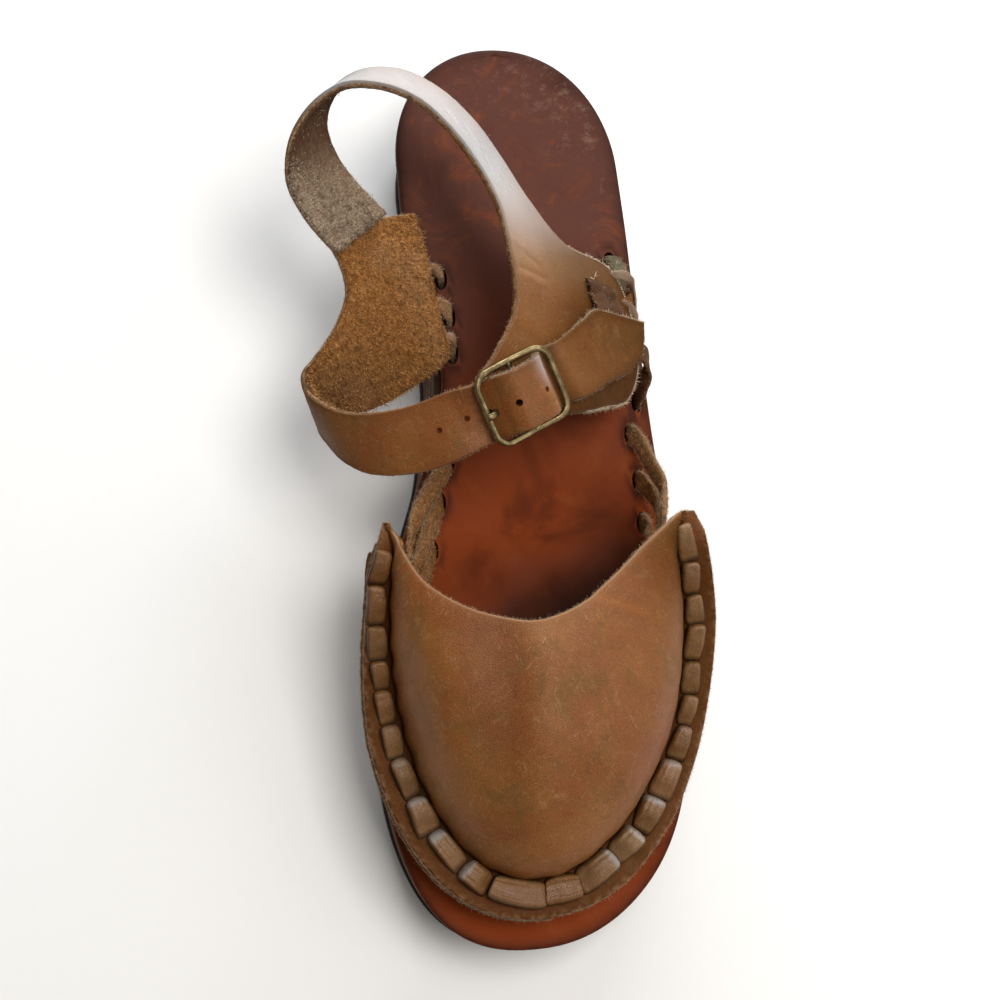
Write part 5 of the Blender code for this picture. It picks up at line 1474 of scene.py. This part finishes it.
thongShape = {
    "step": 0.45, "sunk": 2.4, "clear": 0.4, "leanLift": 2.4,
    # node, hole, lean, direction across at the far end, route (x, back, height)
    "wings": [
        ("lateral_wing_lace_1", (32.8, 119.4), (1.0, 2.0), (0.1, 0.2, 1.0),
         [(36.4, 131.0, 34.4), (37.6, 140.0, 41.4), (35.6, 148.6, 44.6), (33.3, 159.0, 44.8)]),
        ("lateral_wing_lace_2", (34.8, 133.2), (1.0, 2.0), (0.1, 0.2, 1.0),
         [(37.2, 143.0, 34.2), (35.8, 150.0, 38.8), (33.3, 159.0, 39.4)]),
        ("lateral_wing_lace_3", (35.6, 146.0), (0.6, 1.2), (0.1, 0.2, 1.0),
         [(36.0, 149.4, 27.6), (34.4, 153.6, 31.0), (33.3, 160.0, 32.4)]),
        ("medial_wing_lace_1", (-22.6, 126.0), (-1.2, 2.0), (-0.1, 0.2, 1.0),
         [(-31.4, 139.0, 34.6), (-36.6, 149.6, 41.2), (-37.9, 158.0, 43.6)]),
        ("medial_wing_lace_2", (-25.6, 138.0), (-1.0, 2.2), (-0.1, 0.2, 1.0),
         [(-30.4, 148.0, 29.0), (-33.2, 155.4, 31.8), (-36.0, 161.0, 34.0), (-38.6, 166.0, 35.6)]),
        (None, (-28.4, 151.8), (-0.9, 1.8), (-0.1, 0.2, 1.0),
         [(-31.2, 158.6, 27.4), (-35.0, 164.4, 30.8), (-38.6, 169.6, 33.0)])],
    "lateralHoles": [(28.6, 68.2), (31.6, 78.6), (33.6, 93.0), (35.2, 109.6)],
    "lateralRulings": (6.8, 6.4, 5.8, 4.8), "lateralLoop": [(1.065, 1.0), (0.985, 3.2), (0.66, 2.0)],
    # width, fibres per mm, finished face
    "lateralKinds": [(1.05, 18, "grey"), (0.70, 4, "brown"), (1.1, 6, "dark"), (1.2, 6, "dark")],
    "medialKinds": [(0.5, 22, "suede"), (1.0, 34, "suede"), (0.65, 12, "smooth")],
    # laces with a route of their own: where they leave the footbed, then the route;
    # the first lies along the shoe, the lowest loop stands off
    "lateralRoutes": {
        0: ((29.3, 67.0), [(30.2, 69.6, 35.8), (30.4, 73.6, 37.4), (28.6, 78.6, 38.0)]),
        1: ((31.6, 78.6), [(33.5, 79.4, 35.2), (32.9, 81.6, 37.4), (30.0, 83.0, 38.8)]),
        3: ((35.2, 109.6), [(36.1, 106.2, 33.0), (37.0, 101.8, 35.6), (35.7, 98.2, 38.2),
                            (32.4, 96.8, 39.6)])},
    "medialRoutes": {},
    # loose turns outside the laced edge: route, width across at either end, width, thickness
    "turns": [([(26.4, 75.2, 39.6), (28.6, 74.2, 39.9), (31.0, 73.9, 39.3), (33.2, 75.0, 38.0),
                (34.6, 78.6, 36.0), (35.4, 83.0, 33.4), (34.6, 87.0, 30.4)],
               ((0.1, 0.75, 0.6), (-0.1, 0.0, 1.0)), 0.60, 0.46),
              ([(29.4, 82.8, 39.0), (31.2, 83.2, 38.6), (33.4, 84.4, 37.0), (34.8, 87.2, 34.0),
                (34.0, 91.5, 30.4)], ((0.1, 0.75, 0.6), (0.0, 0.1, 1.0)), 0.62, 0.46)],
    # flaps of dark lace on the quarter's grain: route (x, back, lift), width
    "flaps": [([(19.9, 79.0, 0.1), (20.3, 80.4, 1.3), (20.9, 82.8, 1.1), (21.9, 86.2, 1.5),
                (23.4, 90.5, 1.2)], 1.50),
              ([(24.2, 79.4, 0.1), (24.7, 81.0, 1.4), (25.4, 83.4, 1.0), (26.6, 86.6, 1.5),
                (28.0, 90.5, 1.0)], 1.15)],
    "medialHoles": [(-22.8, 72.5), (-20.8, 84.0), (-20.4, 94.5)],
    "medialRulings": (10.35, 9.6, 8.75), "medialLoop": [(1.10, -0.9), (0.99, -2.6), (0.87, -2.5)],
}


def besideSheet(tops, lows, at, across, lift):
    knots = np.arange(len(tops), dtype=float)
    top, low = through(knots, tops, at), through(knots, lows, at)
    ahead = through(knots, tops, at + 0.1) * (1 - across) + through(knots, lows, at + 0.1) * across
    point = top * (1 - across) + low * across
    return point + unit(np.cross(low - top, ahead - point)) * lift * mm


def fromHole(x, back):
    top = footbedTop(back)
    return [toWorld((x, back, top - thongShape["sunk"])), toWorld((x, back, top + thongShape["clear"]))]


def thong(name, node, path, hints, seed, finish, fray, width=1.0, smooth=None, turnFrom=0.0, thick=1.0,
          crumple=0.22):
    path = np.array(path)
    knots = runAlong(path)
    count = int(knots[-1] / (thongShape["step"] * mm))
    centres = through(knots, path, np.linspace(0, knots[-1], count + 1))
    run = np.gradient(centres, axis=0)
    blend = smoothStep(np.arange(count + 1) / count, turnFrom, 1.0)[:, None]
    hint = np.array(hints[0]) * (1 - blend) + np.array(hints[1]) * blend
    across = unit(hint - run * (hint * run).sum(axis=1, keepdims=True) / (run**2).sum(axis=1, keepdims=True))
    up = unit(np.cross(run, across))
    ring = roundSection(laceShape["thongWidth"] * width, laceShape["thongThickness"] * thick, 3.2, 22)
    points = centres[:, None] + (across[:, None] * ring[None, :, :1] + up[:, None] * ring[None, :, 1:]) * mm
    out = unit(points - centres[:, None])
    points = points + out * (lumps(points, 1.6, seed)[..., None] * min(crumple, 0.22) * mm)
    if crumple > 0.22:
        points = points + up[:, None] * (lumps(points, 3.4, seed + 5.0, 1)[..., None] * crumple * mm)
    around = len(ring)
    faces = ringFaces(count + 1, around)
    faces += [tuple(range(around)), tuple(count * around + j for j in range(around))]
    ends = np.exp(-np.arange(count + 1) * thongShape["step"] / 3.0)
    shadow = np.repeat(0.5 * ends, around)
    upper = np.append(np.tile((ring[:, 1] + np.roll(ring[:, 1], -1) < 0) * 1, count), [0, 0])
    piece = faceOutward(makeMesh(name, points, faces, [finish, smooth or finish], upper,
                                 {"shadow": shadow, "wearAndSheen": 0 * shadow, "grey": 0 * shadow}))
    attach(piece, "root")
    if node:
        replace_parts(piece, node)
    side = laceShape["thongWidth"] * width / 2 * mm * 0.95
    edges = {"points": np.concatenate([centres + across * side, (centres - across * side)[::-1]]),
             "normals": np.concatenate([up, up[::-1]]) * 0.6,
             "away": np.concatenate([across, -across[::-1]])}
    strands(name + "Fray", edges, fray, 0.75, 0.10, 0.0, int(seed * 7), fibrePale)
    return piece


alongShoe = (0.0, 1.0, 0.0)
laceKinds = {  # finished face, other face, direction across
    "suede": (laceSuede, laceSuede, alongShoe), "smooth": (laceSmooth, laceSuede, alongShoe),
    "dark": (laceDark, laceDark, alongShoe), "brown": (marginGrain, marginGrain, alongShoe),
    "grey": (laceGrey, laceGrey, (1.0, 0.1, -0.3)),
}


def buildWingThongs():
    for index, (node, (x, back), lean, across, route) in enumerate(thongShape["wings"]):
        start = (x + lean[0], back + lean[1], footbedTop(back) + thongShape["leanLift"])
        path = fromHole(x, back) + [toWorld(point) for point in (start, *route)]
        piece = thong("wingThong%d" % (index + 1), node, path, (alongShoe, across), 50.0 + index, wingSuede,
                      30, 1.12, turnFrom=0.55)
        for side in (0, 1):
            napFibres("wingNap%d%s" % (index + 1, "AB"[side]), piece, side, 650, 0.75, 0.15,
                      90 + 2 * index + side, fibreOchre, lambda p: 1.0)


def buildQuarterThongs(side, tops, lows, first):
    holes, rulings, loop, kinds, routes = (
        thongShape[side + key] for key in ("Holes", "Rulings", "Loop", "Kinds", "Routes"))
    for index, (hole, at, (narrow, fray, kind)) in enumerate(zip(holes, rulings, kinds)):
        if index in routes:
            hole, route = routes[index]
            way = [toWorld(point) for point in route]
        else:
            way = [besideSheet(tops, lows, first + at, down, lift) for down, lift in loop]
        over, under, across = laceKinds[kind]
        thong("%sQuarterThong%d" % (side, index + 1), "%s_quarter_lace_%d" % (side, index + 1),
              fromHole(*hole) + way, (across, across), 60.0 + index + len(side), under, fray, narrow, over)


def onQuarter(x, back, lift):  # on the grain of the lateral quarter
    spot = toWorld((x, back, 0.0))
    close = np.linalg.norm(cuffSpots[:, :2] - spot[:2], axis=1) < 0.9 * mm
    return np.array((spot[0], spot[1], cuffSpots[close, 2].max() + lift * mm))


def buildLooseLaces():  # turns outside the laced edge, and flaps on the grain
    for index, (points, hints, wide, thick) in enumerate(thongShape["turns"]):
        thong("lateralLooseTurn%d" % (index + 1), None, [toWorld(point) for point in points], hints,
              81.0 + index, lacePale, 8, wide, lacePale, thick=thick, crumple=0.12)
    for index, (route, wide) in enumerate(thongShape["flaps"]):
        x, back, lift = route[2]
        slope = onQuarter(x + 1.2, back, lift) - onQuarter(x - 1.2, back, lift)
        path = [onQuarter(*point) for point in route]
        thong("lateralLaceFlap%d" % (index + 1), None, path, (slope, slope), 84.0 + index, laceDark, 5, wide,
              laceDark, thick=0.72, crumple=0.85)


buildWingThongs()
buildQuarterThongs("lateral", lateralTops, lateralLows, 0)
rearStart = len(cuffShape["strapPoint"]) + len(cuffShape["strapCrest"])
buildQuarterThongs("medial", medialTops, medialLows, rearStart)
cuffSpots = np.array([v.co for v in lateralCuff.data.vertices])
buildLooseLaces()
print("thongs done")


# loose fibres on the raw edges and the nap of the flesh side

fibreShape = {
    # edge, fibres per mm, length, width, lean off the face, seed
    "edges": [("throatFibres", vampEdge, 15, 0.50, 0.085, 0.6, 71),
              ("wallFibres", wallEdge, 8, 0.42, 0.08, 0.3, 72),
              ("lateralFibres", lateralEdge, 11, 0.45, 0.085, 0.2, 73),
              ("medialFibres", medialEdge, 11, 0.45, 0.085, 0.2, 74)],
    # a pale V of torn grain on the quarter: x, back, direction, length
    "tears": [(20.2, 77.6, (0.35, 1.0, 0.1), 2.6), (20.0, 77.8, (-1.0, 0.55, 0.1), 1.7),
              (20.6, 77.0, (0.9, 0.5, 0.2), 1.5)],
    "tearWidth": 0.22,
}


def buildEdgeFibres():
    for row in fibreShape["edges"]:
        strands(*row, fibrePale)
    spots = lateralEdge["points"] / mm
    ragged = (spots[:, 0] > 12) & (spots[:, 1] < -24)
    strands("quarterRagged", lateralEdge, 58, 0.62, 0.19, 0.5, 77, fibreWhite, ragged * 1.0, True)
    spots, away = medialEdge["points"], medialEdge["away"]
    fromBuckle = np.abs((spots - toWorld(buckleShape["base"])) @ buckleAlong) / mm
    strapEnd = (spots[:, 0] / mm > 10) & (away[:, 1] > 0)
    strapEnd = strapEnd | ((fromBuckle < 9) & (away @ buckleAcross > 0.3))
    strands("strapEndRagged", medialEdge, 26, 0.50, 0.14, 0.7, 78, fibrePale, strapEnd * 1.0)


def buildTornFibre():
    tears = fibreShape["tears"]
    roots = np.array([onQuarter(x, back, 0.15) for x, back, aim, size in tears])
    aims = unit(np.array([aim for x, back, aim, size in tears], float))
    sizes = np.array([[size * mm] for x, back, aim, size in tears])
    spikes("tornFibre", roots, aims, sizes, np.full((len(tears), 1), fibreShape["tearWidth"] * mm),
           np.random.default_rng(79), fibrePale, 0.2)


buildEdgeFibres()
buildTornFibre()
napFibres("medialNap", medialCuff, 1, 17000, 0.95, 0.21, 75, fibreOchre,
          lambda p: smoothStep(-p[:, 0], 12, 24) * smoothStep(p[:, 1], -88, -76))
# few grey fibres on the strap's inside, so that its painted shade stays dark
napFibres("heelStrapNap", lateralCuff, 1, 12000, 1.0, 0.19, 76, fibreGrey,
          lambda p: smoothStep(-p[:, 0], 34, 50) * (0.01 + 0.99 * smoothStep(-p[:, 1], 8, 26)))
print("fibres done")


# floor, light and camera

stage = {
    "floorSize": 3.0, "floor": (0.93, 0.93, 0.925), "floorSpeck": (0.8, 0.8, 0.8),
    "world": 0.24, "worldColour": (1.0, 0.95, 0.88), "lightsAim": (0.0, -0.09, 0.03),
    "eye": (-0.08178, -0.18073, 0.46475), "aim": (-0.00826, -0.10330, 0.02685),
    "up": (0.03083, 0.97795, 0.20655), "lens": 55.2,
    # name, place, width, height, power, colour
    "lights": [("windowLight", (0.12, 0.80, 0.27), 0.80, 0.46, 12.0, (0.90, 0.955, 1.0)),
               ("ceilingLight", (0.20, -0.02, 1.00), 0.50, 0.50, 6.6, (1.0, 0.965, 0.92)),
               ("fillLight", (0.50, -0.34, 0.42), 0.40, 0.40, 0.9, (1.0, 0.97, 0.95))],
}


def buildStage():
    size = stage["floorSize"]
    floor = makeMesh("floor", [(-size, -size, 0), (size, -size, 0), (size, size, 0), (-size, size, 0)],
                     [(0, 1, 2, 3)], [], smooth=False)
    finish, tree, shader, place = newFinish("paperFloor")
    speck = noiseOf(tree, place, 300, 3)
    colour = coat(tree, stage["floor"], (speck, 0.3, 0.7, 0.0, 0.04, stage["floorSpeck"]))
    tree.links.new(colour, shader.inputs["Base Color"])
    shader.inputs["Roughness"].default_value = 0.9
    floor.data.materials.append(finish)
    world = bpy.data.worlds.new("studio")
    world.use_nodes = True
    background = world.node_tree.nodes["Background"]
    background.inputs["Color"].default_value = (*stage["worldColour"], 1.0)
    background.inputs["Strength"].default_value = stage["world"]
    bpy.context.scene.world = world
    middle = Vector(stage["lightsAim"])
    for name, place, width, height, power, colour in stage["lights"]:
        lamp = bpy.data.lights.new(name, "AREA")
        lamp.shape = "RECTANGLE"
        lamp.size = width
        lamp.size_y = height
        lamp.energy = power
        lamp.color = colour
        holder = bpy.data.objects.new(name, lamp)
        holder.location = place
        holder.rotation_mode = "QUATERNION"
        holder.rotation_quaternion = (middle - Vector(place)).to_track_quat("-Z", "Y")
        holder.visible_camera = False
        bpy.context.scene.collection.objects.link(holder)


def buildCamera():
    eye, aim, up = (Vector(stage[key]) for key in ("eye", "aim", "up"))
    forward = (aim - eye).normalized()
    right = forward.cross(up).normalized()
    top = right.cross(forward)
    data = bpy.data.cameras.new("camera")
    data.sensor_width = 36.0
    data.lens = stage["lens"]
    data.clip_start = 0.01
    camera = bpy.data.objects.new("camera", data)
    camera.matrix_world = Matrix(((right.x, top.x, -forward.x, eye.x), (right.y, top.y, -forward.y, eye.y),
                                  (right.z, top.z, -forward.z, eye.z), (0, 0, 0, 1)))
    bpy.context.scene.collection.objects.link(camera)
    bpy.context.scene.camera = camera


buildStage()
buildCamera()
bpy.context.scene.view_settings.view_transform = "Standard"
print("stage done")

bpy.context.view_layer.update()
